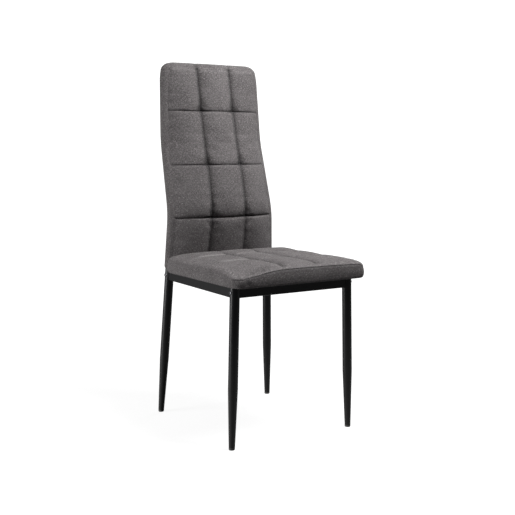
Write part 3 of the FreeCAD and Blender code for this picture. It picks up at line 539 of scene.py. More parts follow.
SEAT_GATHER_DEPTH = 0.0007
SEAT_DENT_X, SEAT_DENT_LEVEL, SEAT_DENT_DEPTH = -0.165, 0.421, 0.0015
SEAT_RIDGE_RISE = 0.0024
SEAT_RIDGE_SHINE = 0.7
SEAT_RIDGE_MIDDLE_SHARES = (0.25, 0.7)


def seat_outline(x, y, inset):
    """Move a point of the full rectangle into the rounded outline at an inset."""
    reach = np.array([SEAT_HALF, (SEAT_REAR - SEAT_FRONT) / 2])
    kept = reach - inset
    point = np.array([x, y - SEAT_MIDDLE]) * kept / reach
    radius = max(SEAT_CORNER - inset * 0.6, 0.004)
    extra = np.clip(np.abs(point) - (kept - radius), 0.0, None) / radius
    curved = extra * np.sqrt(np.clip(1 - extra[::-1] ** 2 / 2, 0.0, 1.0))
    moved = np.sign(point) * (np.abs(point) + (curved - extra) * radius)
    return moved[0], moved[1] + SEAT_MIDDLE


def seat_front_share(y):
    """1 at the front edge, fading to 0 a few centimetres behind it."""
    return smooth(-y, -(SEAT_FRONT + 0.035), -SEAT_FRONT)


def seat_edge(x, y):
    """Radius of the top's rounding: tight along the front, soft at the sides and rear."""
    away_from_corner = 1 - smooth(np.abs(x), SEAT_HALF - 0.03, SEAT_HALF)
    return SEAT_EDGE_ROUND - SEAT_FRONT_TIGHTER * seat_front_share(y) * away_from_corner


def seat_top_level(x, y):
    """Height of the sewn top, slacker towards the front left corner."""
    crown = SEAT_CROWN * (1 - (x / SEAT_HALF) ** 2)
    fall = SEAT_FRONT_FALL * seat_front_share(y)
    near_front = smooth(-y, -(SEAT_FRONT + 0.08), -(SEAT_FRONT + 0.01))
    slack = SEAT_CORNER_SLACK * smooth(-x, 0.06, SEAT_HALF - 0.01) * near_front
    return SEAT_SEAM_LEVEL - 0.0015 + crown - fall - slack


def seat_rim(x, y):
    """Inset and level of each ring from the top's edge down and under to the hem."""
    radius = seat_edge(x, y)
    top = seat_top_level(x, y)
    start = SEAT_TOP_INSET - radius
    shoulder = max(top - 0.8 * radius, SEAT_SHOULDER_LOWEST)
    rings = []
    for degrees in (18, 36, 54, 72, 90):
        angle = math.radians(degrees)
        rings.append((start * (1 - degrees / 90) + radius * (1 - math.sin(angle)),
                      top - (top - shoulder) * (1 - math.cos(angle))))
    front = seat_front_share(y)
    rings.append((SEAT_PIPING_GROOVE * front, shoulder - 0.0010))
    rings.append((-0.0006 * front, shoulder - SEAT_BOXING_TOP))
    foot = SEAT_UNDERSIDE + SEAT_BOX_FOOT
    for share in (0.16, 0.33, 0.5, 0.67, 0.84, 1.0):
        bulge = SEAT_BOXING_BULGE * math.sin(math.pi * share)
        rings.append((-bulge, shoulder - SEAT_BOXING_TOP + (foot - shoulder + SEAT_BOXING_TOP) * share))
    rings += [(0.0012, SEAT_UNDERSIDE + 0.0014), (0.0040, SEAT_UNDERSIDE)]
    rings += [(inset, SEAT_UNDERSIDE) for inset in (0.012, 0.021, SEAT_HEM_WIDTH)]
    return rings


seat_columns = np.concatenate([eased(-SEAT_HALF, -SEAT_SEAM_X, 64, 0.3),
                               eased(-SEAT_SEAM_X, SEAT_SEAM_X, 22, 0.7),
                               eased(SEAT_SEAM_X, SEAT_HALF, 24, 0.7), [SEAT_HALF]])
seat_rows = np.concatenate([eased(SEAT_FRONT, SEAT_SEAM_ROWS[0], 26, 0.7),
                            eased(SEAT_SEAM_ROWS[0], SEAT_SEAM_ROWS[1], 24, 0.7),
                            eased(SEAT_SEAM_ROWS[1], SEAT_REAR, 22, 0.7), [SEAT_REAR]])


def seat_sheet(mesh, plan, weave, inset, ring):
    """Grid over the seat's plan; plan keeps each point's place and ring number."""
    count_x, count_y = len(seat_columns) - 1, len(seat_rows) - 1
    made = bmesh.ops.create_grid(mesh, x_segments=count_x, y_segments=count_y, size=1.0)["verts"]
    for vertex in made:
        x = seat_columns[round((vertex.co.x + 1.0) / 2.0 * count_x)]
        y = seat_rows[round((vertex.co.y + 1.0) / 2.0 * count_y)]
        vertex[plan] = (x, y, ring)
        level = seat_top_level(x, y) if ring == 0 else SEAT_UNDERSIDE
        vertex.co = (*seat_outline(x, y, inset), level)
        for loop in vertex.link_loops:
            loop[weave].uv = (x, y)
    return made


def seat_skirt(mesh, plan, weave, edges, count):
    """Rings extruded from the top sheet's edge, down the boxing and in under the hem."""
    for ring in range(count):
        made = bmesh.ops.extrude_edge_only(mesh, edges=edges)["geom"]
        fresh = {item for item in made if isinstance(item, bmesh.types.BMVert)}
        lines = [item for item in made if isinstance(item, bmesh.types.BMEdge)]
        edges = [line for line in lines if fresh.issuperset(line.verts)]
        for vertex in fresh:
            x, y, _ = vertex[plan]
            inset, level = seat_rim(x, y)[ring]
            vertex[plan] = (x, y, ring + 1)
            vertex.co = (*seat_outline(x, y, inset), level)
        for face in (item for item in made if isinstance(item, bmesh.types.BMFace)):
            middle = face.calc_center_median()
            sideways = abs(middle.x) / SEAT_HALF > abs(middle.y - SEAT_MIDDLE) / (SEAT_REAR - SEAT_MIDDLE)
            for loop in face.loops:
                x, y, _ = loop.vert[plan]
                fall = seat_top_level(x, y) - loop.vert.co.z
                if sideways:
                    loop[weave].uv = (x + math.copysign(fall, middle.x), y)
                else:
                    loop[weave].uv = (x, y + math.copysign(fall, middle.y - SEAT_MIDDLE))


seat_mesh = bmesh.new()
seat_weave = seat_mesh.loops.layers.uv.new("weave")
seat_plan_layer = seat_mesh.verts.layers.float_vector.new("plan")
seat_rings = len(seat_rim(0.0, 0.0))
seat_sheet(seat_mesh, seat_plan_layer, seat_weave, SEAT_TOP_INSET, 0)
top_edges = [edge for edge in seat_mesh.edges if edge.is_boundary]
seat_skirt(seat_mesh, seat_plan_layer, seat_weave, top_edges, seat_rings)
seat_sheet(seat_mesh, seat_plan_layer, seat_weave, SEAT_HEM_WIDTH, seat_rings)
bmesh.ops.remove_doubles(seat_mesh, verts=seat_mesh.verts, dist=0.00001)
bmesh.ops.recalc_face_normals(seat_mesh, faces=seat_mesh.faces)
seat_quilt = link_mesh("seat_quilt", seat_mesh)

plan_values = np.empty(len(seat_quilt.data.vertices) * 3)
seat_quilt.data.attributes["plan"].data.foreach_get("vector", plan_values)
seat_x, seat_y, seat_ring = plan_values.reshape(-1, 3).T
seat_on_top = seat_ring < 0.5
seat_gap_x = np.abs(np.abs(seat_x) - SEAT_SEAM_X)
seat_gap_y = np.min([np.abs(seat_y - row) for row in SEAT_SEAM_ROWS], axis=0)


def seat_swell():
    """Stuffing of the nine squares, from the sewn lines to the soft outer edges."""
    outer_x = np.abs(seat_x) > SEAT_SEAM_X
    share_x = np.where(outer_x, (np.abs(seat_x) - SEAT_SEAM_X) / (SEAT_HALF - SEAT_SEAM_X),
                       (seat_x + SEAT_SEAM_X) / (2 * SEAT_SEAM_X))
    front, rear = SEAT_SEAM_ROWS
    behind_front = np.where(seat_y > rear, (seat_y - rear) / (SEAT_REAR - rear),
                            (seat_y - front) / (rear - front))
    share_y = np.where(seat_y < front, (front - seat_y) / (front - SEAT_FRONT), behind_front)
    across = pillow(np.clip(share_x, 0.0, 1.0), ~outer_x, 4.0)
    across = 1 - (1 - across) * (1 - 0.8 * smooth(seat_y, rear + 0.02, SEAT_REAR - 0.04))
    along = bolster(np.clip(share_y, 0.0, 1.0), 0.8)
    rim = smooth(SEAT_HALF - np.abs(seat_x), -0.012, 0.03) * smooth(SEAT_REAR - seat_y, -0.012, 0.03)
    rim *= smooth(seat_y - SEAT_FRONT, -0.010, 0.02)
    return SEAT_PUFF * across * along * rim * np.exp(-seat_ring / 2.0) * (seat_ring < 5)


seat_points = read_points(seat_quilt.data)
seat_points[:, 2] += seat_swell()
write_points(seat_quilt.data, seat_points)
seat_held = np.where(seat_on_top & ((seat_gap_x < 0.0001) | (seat_gap_y < 0.0001)), 1.0, 0.0)
seat_held = np.where(seat_ring >= 1, 0.96, seat_held)
seat_held = np.where(seat_ring >= 12, 1.0, seat_held)
inflate(seat_quilt, seat_held, pressure=5.0, slack=0.008, cap=0.0025)


def sew_seat(piece):
    """Sewn channels, puckers, ridges behind the rows, and gathers at the front left, with painted shade and
    ridge highlights.
    """
    points = read_points(piece.data)
    drop = SEAT_COLUMN_DEPTH * np.exp(-seat_gap_x / 0.0020) + SEAT_VALLEY_DEPTH * bell(seat_gap_x, 0.008)
    drop *= 1 - 0.7 * smooth(seat_y, SEAT_SEAM_ROWS[1] + 0.03, SEAT_REAR - 0.04)
    drop += SEAT_ROW_DEPTH * np.exp(-seat_gap_y / 0.0022)
    crossing = np.hypot(seat_gap_x * 1.2, seat_gap_y)
    drop += SEAT_PUCKER_DEPTH * bell(crossing, SEAT_PUCKER_REACH)
    edge_fade = smooth(SEAT_HALF - np.abs(seat_x), 0.0, 0.02) * smooth(SEAT_REAR - seat_y, 0.0, 0.02)
    points[:, 2] -= np.where(seat_on_top, drop * edge_fade, 0.0)
    gathered = smooth(-seat_x, 0.085, 0.115) * smooth(seat_x, -0.182, -0.160)
    gathered *= smooth(-seat_y, -(SEAT_FRONT + 0.022), -(SEAT_FRONT + 0.004))
    sway = seat_x * 2 * math.pi / SEAT_GATHER_PITCH + 1.2 * np.sin(seat_x * 130)
    ripple = SEAT_GATHER_DEPTH * np.sin(sway)
    points[:, 2] += np.where(seat_ring < SEAT_PLEATED_RINGS, ripple * gathered, 0.0)
    front_boxing = (seat_y < SEAT_FRONT + 0.001) & (seat_ring >= SEAT_BOXING_RING)
    dent = bell(seat_x - SEAT_DENT_X, 0.009) * bell(points[:, 2] - SEAT_DENT_LEVEL, 0.007)
    points[:, 1] += np.where(front_boxing, SEAT_DENT_DEPTH * dent, 0.0)
    # Painted shade in the puckers at the seam crossings and along the column seams.
    pucker_shade = 1.1 * bell(crossing, 0.014) + 0.35 * bell(seat_gap_x, 0.003)
    rise = np.zeros(len(seat_x))
    lit = np.zeros(len(seat_x))
    for row, middle_share in zip(SEAT_SEAM_ROWS, SEAT_RIDGE_MIDDLE_SHARES):
        reach = smooth(-seat_x, SEAT_SEAM_X + 0.002, SEAT_SEAM_X + 0.035)
        reach *= smooth(SEAT_HALF + seat_x, 0.022, 0.055)
        reach += middle_share * smooth(SEAT_SEAM_X - np.abs(seat_x), 0.012, 0.03)
        rise += reach * bell(seat_y - row - 0.011, 0.0055)
        # Painted highlight in a thin line on each ridge, and painted shade in a band just in front of it.
        lit += reach * bell(seat_y - row - 0.0065, 0.0035)
        lit -= 0.35 * reach * bell(seat_y - row + 0.008, 0.009)
    points[:, 2] += np.where(seat_on_top, SEAT_RIDGE_RISE * rise, 0.0)
    write_points(piece.data, points)
    painted_seam_light = np.where(seat_on_top, pucker_shade * edge_fade - SEAT_RIDGE_SHINE * lit, 0.0)
    # Painted shadow line along the front seam under the top's rounded edge, fading out at the left corner.
    front_seam_shade = np.where((seat_ring == SEAT_BOXING_RING) & (seat_y < SEAT_FRONT + 0.002), 0.9, 0.0)
    front_seam_shade *= smooth(seat_x, -0.186, -0.150)
    # Painted shade in the valleys of the gathers at the front left.
    fold_shade = np.clip(-ripple * 1100, 0.0, 0.7) * gathered
    fold_shade = np.where(seat_ring < SEAT_PLEATED_RINGS, fold_shade, 0.0)
    # Painted shade in the dent on the front boxing.
    dent_shade = np.where(front_boxing, 0.7 * dent, 0.0)
    paint_seam_shade_and_sheen(piece.data, painted_seam_light + front_seam_shade + fold_shade + dent_shade)


def paint_seam_shade_and_sheen(mesh, value):
    """Keep how much painted shade each point gets in a seam, fold or dent; below 0 it gets a painted
    highlight instead.
    """
    layer = mesh.attributes.new("seam_shade_and_sheen", "FLOAT", "POINT")
    layer.data.foreach_set("value", np.clip(value, -1.0, 1.0).astype(np.float32))


sew_seat(seat_quilt)


def thread_material():
    """Twisted polyester sewing thread in the cloth's own grey."""
    material, tree, shader = new_material("sewing_thread", Roughness=0.6, Sheen_Weight=0.1)
    vector = add(tree, "ShaderNodeTexCoord").outputs["Object"]
    twist = noise_value(tree, vector, 2600.0, 2.0, 0.6)
    tree.links.new(mixed(tree, twist, (0.05, 0.047, 0.048, 1), (0.12, 0.112, 0.113, 1)),
                   shader.inputs["Base Color"])
    tree.links.new(bumped(tree, twist, 0.0001), shader.inputs["Normal"])
    return material


sewing_thread = thread_material()
STITCH_PITCH = 0.0042
STITCH_LENGTH = 0.0032
STITCH_RADIUS = 0.00038
STITCH_PROUD = 0.0006
STITCH_BREAK = 0.004


def sew_line(mesh, points, outward):
    """Row of short threads laid along a run of points, just proud of the cloth."""
    steps = np.linalg.norm(np.diff(points, axis=0), axis=1)
    travel = np.concatenate([[0.0], np.cumsum(steps)])
    for place in np.arange(STITCH_PITCH / 2, travel[-1] - STITCH_PITCH / 2, STITCH_PITCH):
        ends = [np.array([np.interp(place + shift, travel, points[:, axis]) for axis in range(3)])
                for shift in (-STITCH_LENGTH / 2, STITCH_LENGTH / 2)]
        along_seam = Vector(ends[1] - ends[0]).normalized()
        centre = Vector((ends[0] + ends[1]) / 2) + Vector(outward)
        turn = along_seam.to_track_quat("Z", "X").to_matrix().to_4x4()
        made = bmesh.ops.create_uvsphere(mesh, u_segments=6, v_segments=5, radius=STITCH_RADIUS)["verts"]
        bmesh.ops.scale(mesh, verts=made, vec=(1.0, 1.0, STITCH_LENGTH / 2 / STITCH_RADIUS))
        bmesh.ops.transform(mesh, verts=made, matrix=Matrix.Translation(centre) @ turn)


def seam_points(points, on_seam, axis):
    """The cover's own points along one seam, in order."""
    chosen = points[on_seam]
    return chosen[np.argsort(chosen[:, axis])]


def finish_stitches(name, mesh):
    piece = link_mesh(name, mesh)
    piece.data.materials.append(sewing_thread)
    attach(piece, "root")


seat_points = read_points(seat_quilt.data)
seat_threads = bmesh.new()
seat_inside = seat_on_top & (np.abs(seat_x) < SEAT_HALF - 0.012) & (seat_y > SEAT_FRONT + 0.010)
for seam_row in SEAT_SEAM_ROWS:
    sewn = seat_inside & (np.abs(seat_y - seam_row) < 0.0001) & (seat_gap_x > STITCH_BREAK)
    sew_line(seat_threads, seam_points(seat_points, sewn, 0), (0.0, 0.0, STITCH_PROUD))
for seam_x in (-SEAT_SEAM_X, SEAT_SEAM_X):
    sewn = seat_inside & (np.abs(seat_x - seam_x) < 0.0001) & (seat_y < SEAT_REAR - 0.012)
    sew_line(seat_threads, seam_points(seat_points, sewn, 1), (0.0, 0.0, STITCH_PROUD))
finish_stitches("seat_stitches", seat_threads)
rounded_render(seat_quilt)
seat_quilt.data.materials.append(grey_linen)
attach(seat_quilt, "root")
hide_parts("seat_cover", "seat_foam")


# ---------------------------------------------------------------------------
# Backrest: steel bars between the uprights carry a hardboard panel and a foam
# pad; the cover is a sleeve of the same grey cloth, quilted three squares wide
# and four high, pulled down over the tubes from above and zipped underneath.
# ---------------------------------------------------------------------------
back_low, back_high = [np.array(corner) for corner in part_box("back_cover")]
BACK_TOP = back_high[2]
BACK_FOOT = back_low[2]
BACK_TUBE_REACH = 0.0155
BACK_SEAM_LEVELS = (0.552, 0.697, 0.846)
BACK_CORNER = 0.017
BACK_TAPER = 0.0045
BACK_TAPER_HEIGHT = 0.045
BACK_TOP_ROUND = 0.012
BACK_FOOT_ROUND = 0.006
BACK_FRONT_FROM = 0.0148
BACK_PUFF = 0.0062
BACK_ROW_DEPTH = 0.0020
BACK_LOWEST_ROW_EXTRA = 0.0018
BACK_VALLEY_DEPTH = 0.0022
BACK_COLUMN_DEPTH = 0.0008
BACK_PUCKER_DEPTH = 0.0060
BACK_PUCKER_WIDTH = 0.022
BACK_PUCKER_HEIGHT = 0.021
BACK_TOP_RISE = 0.0046
SPINE_LEVELS = (0.0, 0.5647, 0.764, 0.976)
SPINE_DEPTHS = (0.2026, 0.16595, 0.2182, 0.2331)
SPINE_REACHES = (0.1796, 0.1532, 0.1464, 0.1392)
SPINE_BENDS = ((0.5647, 0.0324), (0.764, 0.028))


def upright_depth(level):
    """Depth of the bent upright's middle line, its two corners rounded off."""
    depth = np.interp(level, SPINE_LEVELS, SPINE_DEPTHS)
    for corner, reach in SPINE_BENDS:
        before = np.interp(corner - reach, SPINE_LEVELS, SPINE_DEPTHS)
        middle = np.interp(corner, SPINE_LEVELS, SPINE_DEPTHS)
        after = np.interp(corner + reach, SPINE_LEVELS, SPINE_DEPTHS)
        share = np.clip((level - corner + reach) / (2 * reach), 0.0, 1.0)
        curve = before * (1 - share) ** 2 + 2 * middle * share * (1 - share) + after * share ** 2
        depth = np.where(np.abs(level - corner) < reach, curve, depth)
    return depth


def crown_at(level):
    """How far the sewn front stands before the tubes' front line, on the middle line."""
    return np.interp(level, (0.411, 0.456, 0.552, 0.620, 0.697, 0.770, 0.846, 0.915, 0.976),
                     (0.0155, 0.0205, 0.0345, 0.0415, 0.0445, 0.0375, 0.0255, 0.0150, 0.0070))


def seam_reach(level):
    return np.interp(level, (0.456, 0.552, 0.697, 0.846, 0.976), (0.0568, 0.0546, 0.0529, 0.0517, 0.0512))


back_levels = np.concatenate([
    BACK_FOOT + BACK_FOOT_ROUND * (1 - np.cos(np.radians((0, 30, 60)))),
    eased(BACK_FOOT + BACK_FOOT_ROUND, BACK_SEAM_LEVELS[0], 26, 0.7),
    eased(BACK_SEAM_LEVELS[0], BACK_SEAM_LEVELS[1], 28, 0.7),
    eased(BACK_SEAM_LEVELS[1], BACK_SEAM_LEVELS[2], 28, 0.7),
    eased(BACK_SEAM_LEVELS[2], BACK_TOP - BACK_TOP_ROUND, 22, 0.5),
    BACK_TOP - BACK_TOP_ROUND * (1 - np.sin(np.radians((0, 15, 30, 45, 60, 75, 90))))])
WRAP_STEPS = 12
CELL_STEPS = 20
CROSS_STEPS = 3 * CELL_STEPS


def back_section(level):
    """Closed outline of the cover at one height: x, y, and kind and place along it."""
    reach = np.interp(level, SPINE_LEVELS, SPINE_REACHES)
    centre = upright_depth(level)
    over = np.clip((level - (BACK_TOP - BACK_CORNER)) / BACK_CORNER, 0.0, 1.0)
    corner_loss = BACK_CORNER * (1 - math.sqrt(1 - over * over))
    corner_loss += BACK_TAPER * smooth(level, BACK_TOP - BACK_TAPER_HEIGHT, BACK_TOP)
    over_top = np.clip((level - (BACK_TOP - BACK_TOP_ROUND)) / BACK_TOP_ROUND, 0.0, 1.0)
    loss = BACK_TOP_ROUND * (1 - math.sqrt(1 - over_top * over_top))
    over_foot = np.clip((BACK_FOOT + BACK_FOOT_ROUND - level) / BACK_FOOT_ROUND, 0.0, 1.0)
    loss += BACK_FOOT_ROUND * (1 - math.sqrt(1 - over_foot * over_foot))
    corner_loss += BACK_FOOT_ROUND * (1 - math.sqrt(1 - over_foot * over_foot))
    half = reach - corner_loss
    seam = seam_reach(level) * half / reach
    stations = np.concatenate([eased(-half, -seam, CELL_STEPS, 0.7), eased(-seam, seam, CELL_STEPS, 0.7),
                               eased(seam, half, CELL_STEPS, 0.7), [half]])
    arch = crown_at(level) * (1 - np.abs(stations / reach) ** 2.5)
    front = centre - BACK_TUBE_REACH - arch + loss
    rear = centre + BACK_TUBE_REACH - loss
    turn = np.linspace(math.pi, 0.0, WRAP_STEPS + 1)
    wrap_out = np.sin(turn) * BACK_TUBE_REACH
    wrap_in = np.cos(turn) * BACK_TUBE_REACH
    squash = (rear - front[0]) / (2 * BACK_TUBE_REACH)
    middle = (rear + front[0]) / 2
    left = [(-half - out, middle - inward * squash) for out, inward in zip(wrap_out, wrap_in)]
    right = [(half + out, middle + inward * squash) for out, inward in zip(wrap_out, wrap_in)]
    across = list(zip(stations, front))
    behind = [(x, rear) for x in stations[::-1]]
    return np.array(left[:-1] + across + right[1:] + behind[1:])


def back_surface():
    """Points of the whole sleeve, its ends closed down onto a line."""
    levels = list(back_levels)
    rings = [back_section(level) for level in levels]
    foot, top = rings[0], rings[-1]
    columns = len(foot)
    pair = partner(columns)

    def closing(ring, share):
        middle = (ring + np.stack([ring[:, 0], ring[pair, 1]], axis=1)) / 2
        return ring + (middle - ring) * share

    shares = (1.0, 0.66, 0.33)
    under = [closing(foot, share) for share in shares]
    over = [closing(top, share) for share in shares[::-1]]
    rings = under + rings + over
    levels = [levels[0]] * 3 + levels + [levels[-1]] * 3
    place = np.zeros((len(rings), columns, 3))
    for row, (ring, level) in enumerate(zip(rings, levels)):
        place[row, :, :2] = ring
        place[row, :, 2] = level
    return place


def partner(columns):
    """Index of the point straight behind or before each point of an outline."""
    index = np.arange(columns)
    wrap, cross = WRAP_STEPS, CROSS_STEPS
    pair = index.copy()
    pair[:wrap + 1] = wrap - index[:wrap + 1]
    across = np.arange(wrap, wrap + cross + 1)
    last = wrap + cross
    pair[across] = columns - 1 - (across - wrap)
    pair[:1] = wrap
    side = np.arange(last, last + wrap + 1)
    pair[side] = 2 * last + wrap - side
    behind = np.arange(last + wrap, columns)
    pair[behind] = last - (behind - last - wrap)
    pair[last] = last + wrap
    pair[wrap] = columns - 1
    return pair


def grid_piece(name, place, uv, columns, rows):
    """Sheet of columns by rows, each point put in place, welded where its ends meet."""
    mesh = bmesh.new()
    bmesh.ops.create_grid(mesh, x_segments=columns, y_segments=rows, size=1.0)
    weave = mesh.loops.layers.uv.new("weave")
    steps = {}
    for vertex in mesh.verts:
        steps[vertex] = (round((vertex.co.y + 1.0) / 2.0 * rows),
                         round((vertex.co.x + 1.0) / 2.0 * columns))
    for vertex, step in steps.items():
        vertex.co = place[step]
        for loop in vertex.link_loops:
            loop[weave].uv = uv[step]
    bmesh.ops.remove_doubles(mesh, verts=mesh.verts, dist=0.00001)
    bmesh.ops.recalc_face_normals(mesh, faces=mesh.faces)
    return link_mesh(name, mesh)


back_place = back_surface()
travel = np.linalg.norm(np.diff(back_place, axis=1), axis=2)
u_place = np.concatenate([np.zeros((len(back_place), 1)), np.cumsum(travel, axis=1)], axis=1)
u_place -= u_place[:, WRAP_STEPS + CROSS_STEPS // 2][:, None]
climb = np.linalg.norm(np.diff(back_place, axis=0), axis=2).max(axis=1)
v_place = np.concatenate([[0.0], np.cumsum(climb)])
back_uv = np.stack([u_place, np.repeat(v_place[:, None], u_place.shape[1], axis=1)], axis=2)
back_quilt = grid_piece("back_quilt", back_place, back_uv, back_place.shape[1] - 1, back_place.shape[0] - 1)
back_quilt.data.materials.append(grey_linen)

back_points = read_points(back_quilt.data)
back_x, back_y, back_z = back_points.T
back_reach = np.interp(back_z, SPINE_LEVELS, SPINE_REACHES)
on_front = (back_y < upright_depth(back_z) - BACK_FRONT_FROM) & (np.abs(back_x) < back_reach)
on_front &= (back_z > BACK_FOOT + 0.004) & (back_z < BACK_TOP - 0.010)
back_gap_x = np.abs(np.abs(back_x) - seam_reach(back_z))
back_gap_z = np.min([np.abs(back_z - level) for level in BACK_SEAM_LEVELS], axis=0)


def back_swell():
    """Stuffing of the twelve squares between the sewn lines and the loose outer edges."""
    seam = seam_reach(back_z)
    outer = np.abs(back_x) > seam
    share_x = np.where(outer, (np.abs(back_x) - seam) / (back_reach - seam), (back_x + seam) / (2 * seam))
    share_z = np.zeros(len(back_z))
    edges = (BACK_FOOT,) + BACK_SEAM_LEVELS + (BACK_TOP,)
    for low, high in zip(edges, edges[1:]):
        share_z = np.where((back_z >= low) & (back_z <= high), (back_z - low) / (high - low), share_z)
    across = pillow(np.clip(share_x, 0.0, 1.0), ~outer, 2.2)
    near_lowest_seam = bell(back_z - BACK_SEAM_LEVELS[0], 0.05)
    along = bolster(np.clip(share_z, 0.0, 1.0), 0.45 + 0.35 * near_lowest_seam)
    edge = smooth(back_reach - np.abs(back_x), 0.0, 0.012) * smooth(BACK_TOP - 0.008 - back_z, 0.0, 0.012)
    return BACK_PUFF * across * along * edge * smooth(back_z - BACK_FOOT, 0.0, 0.02)


back_points[:, 1] -= np.where(on_front, back_swell(), 0.0)
write_points(back_quilt.data, back_points)
back_held = np.where(on_front & (back_gap_x > 0.0003) & (back_gap_z > 0.0003), 0.0, 1.0)
inflate(back_quilt, back_held, pressure=5.0, slack=0.010, cap=0.004)


def sew_back(piece):
    """Sewn channels: fine level seams, wide upright valleys, deep above each crossing, all with painted
    shade.
    """
    points = read_points(piece.data)
    lowest_seam = bell(back_z - BACK_SEAM_LEVELS[0], 0.03)
    drop = (BACK_ROW_DEPTH + BACK_LOWEST_ROW_EXTRA * lowest_seam) * np.exp(-back_gap_z / 0.0016)
    drop += BACK_VALLEY_DEPTH * bell(back_gap_x, 0.0085) + BACK_COLUMN_DEPTH * np.exp(-back_gap_x / 0.0016)
    # Painted shade in the upright valleys and along the level seams, most at the lowest.
    painted_seam_shade = 0.62 * bell(back_gap_x, 0.0060) + (0.35 + 0.4 * lowest_seam) * bell(back_gap_z, 0.0020)
    for level in BACK_SEAM_LEVELS:
        above = back_z - level
        near = np.exp(-np.clip(above, 0.0, None) / BACK_PUCKER_HEIGHT)
        near *= np.exp(np.clip(above, None, 0.0) / 0.003)
        width = np.clip(BACK_PUCKER_WIDTH * (1 - above / 0.045), 0.004, BACK_PUCKER_WIDTH)
        pucker = near * bell(back_gap_x, width)
        drop += BACK_PUCKER_DEPTH * pucker
        # Painted shade in each pucker above a crossing.
        painted_seam_shade += 0.75 * pucker
    points[:, 1] += np.where(on_front, drop, 0.0)
    over_top = smooth(back_z, BACK_TOP - 0.014, BACK_TOP - 0.001)
    over_top *= smooth(back_reach + 0.008 - np.abs(back_x), 0.0, 0.03)
    points[:, 2] += over_top * (BACK_TOP_RISE - 0.0007 * bell(back_gap_x, 0.006))
    write_points(piece.data, points)
    # Painted shade where the upright seams run over the top edge.
    top_seam_shade = np.where(back_z > BACK_TOP - 0.012, 0.45 * bell(back_gap_x, 0.0045), 0.0)
    paint_seam_shade_and_sheen(piece.data, np.where(on_front, painted_seam_shade, top_seam_shade))


sew_back(back_quilt)
back_points = read_points(back_quilt.data)
back_threads = bmesh.new()
for seam_level in BACK_SEAM_LEVELS:
    sewn = on_front & (np.abs(back_z - seam_level) < 0.0001) & (back_gap_x > STITCH_BREAK)
    sew_line(back_threads, seam_points(back_points, sewn, 0), (0.0, -STITCH_PROUD, 0.0))
for side in (-1, 1):
    sewn = on_front & (back_gap_x < 0.0001) & (back_x * side > 0)
    sew_line(back_threads, seam_points(back_points, sewn, 2), (0.0, -STITCH_PROUD, 0.0))
finish_stitches("back_stitches", back_threads)
rounded_render(back_quilt)
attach(back_quilt, "root")
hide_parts("back_cover", "back_foam")


# ---------------------------------------------------------------------------
# Zip: closes the sleeve along the bottom. Woven black tape with a moulded nylon
# coil down its middle, and a black-plated slider with a pull, parked at the left.
# ---------------------------------------------------------------------------
def zip_tape_material():
    """Fine twill tape: slanting ribs across its own grain."""
    material, tree, shader = new_material("zip_tape", Sheen_Weight=0.05)
    vector = add(tree, "ShaderNodeTexCoord").outputs["Object"]
    ribs = add(tree, "ShaderNodeTexWave", {"Vector": vector, "Scale": 420.0, "Distortion": 0.6},
               wave_type="BANDS", bands_direction="DIAGONAL").outputs["Fac"]
    fuzz = noise_value(tree, vector, 900.0, 3.0)
    tree.links.new(mixed(tree, ribs, (0.006, 0.006, 0.006, 1), (0.024, 0.024, 0.025, 1)),
                   shader.inputs["Base Color"])
    tree.links.new(remap(tree, fuzz, 0.3, 0.7, 0.7, 0.92), shader.inputs["Roughness"])
    tree.links.new(bumped(tree, maths(tree, "ADD", ribs, fuzz), 0.0002), shader.inputs["Normal"])
    return material


finish_node("back_zip", zip_tape_material())
zip_low, zip_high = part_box("back_zip")
ZIP_TOOTH_PITCH = 0.0016
ZIP_TOOTH_HALF = 0.0022
ZIP_TOOTH_THICKNESS = 0.0007
ZIP_COIL_MARGIN = 0.004
ZIP_SLIDER_FROM_END = 0.014
zip_middle = (zip_low[1] + zip_high[1]) / 2
zip_mesh = bmesh.new()
for tooth in np.arange(zip_low[0] + ZIP_COIL_MARGIN, zip_high[0] - ZIP_COIL_MARGIN, ZIP_TOOTH_PITCH):
    made = bmesh.ops.create_uvsphere(zip_mesh, u_segments=6, v_segments=4, radius=1.0)["verts"]
    bmesh.ops.scale(zip_mesh, verts=made, vec=(ZIP_TOOTH_PITCH * 0.42, ZIP_TOOTH_HALF, ZIP_TOOTH_THICKNESS))
    bmesh.ops.translate(zip_mesh, verts=made, vec=(tooth, zip_middle, zip_low[2]))
zip_coil = link_mesh("zip_coil", zip_mesh)
zip_coil.data.materials.append(moulded_black)
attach(zip_coil, "root")


def rounded_block(mesh, centre, size, rounding):
    """Small cast block with all its edges rounded."""
    made = bmesh.ops.create_cube(mesh, size=1.0)["verts"]
    bmesh.ops.scale(mesh, verts=made, vec=size)
    bmesh.ops.translate(mesh, verts=made, vec=centre)
    edges = list({edge for vertex in made for edge in vertex.link_edges})
    bmesh.ops.bevel(mesh, geom=edges, offset=rounding, segments=3, profile=0.5, affect="EDGES", material=-1)


# Body, bridge and pull: how far along and below the tape, size, and rounding.
SLIDER_BLOCKS = ((0.0, 0.0009, (0.0085, 0.0070, 0.0024), 0.0009),
                 (-0.001, 0.0026, (0.0045, 0.0016, 0.0014), 0.0005),
                 (0.0095, 0.0029, (0.0200, 0.0038, 0.0010), 0.0004))
slider_mesh = bmesh.new()
slider_x = zip_low[0] + ZIP_SLIDER_FROM_END
for along, below, size, rounding in SLIDER_BLOCKS:
    rounded_block(slider_mesh, (slider_x + along, zip_middle, zip_low[2] - below), size, rounding)
zip_slider = link_mesh("zip_slider", slider_mesh)
zip_slider.data.materials.append(black_zinc)
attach(zip_slider, "root")


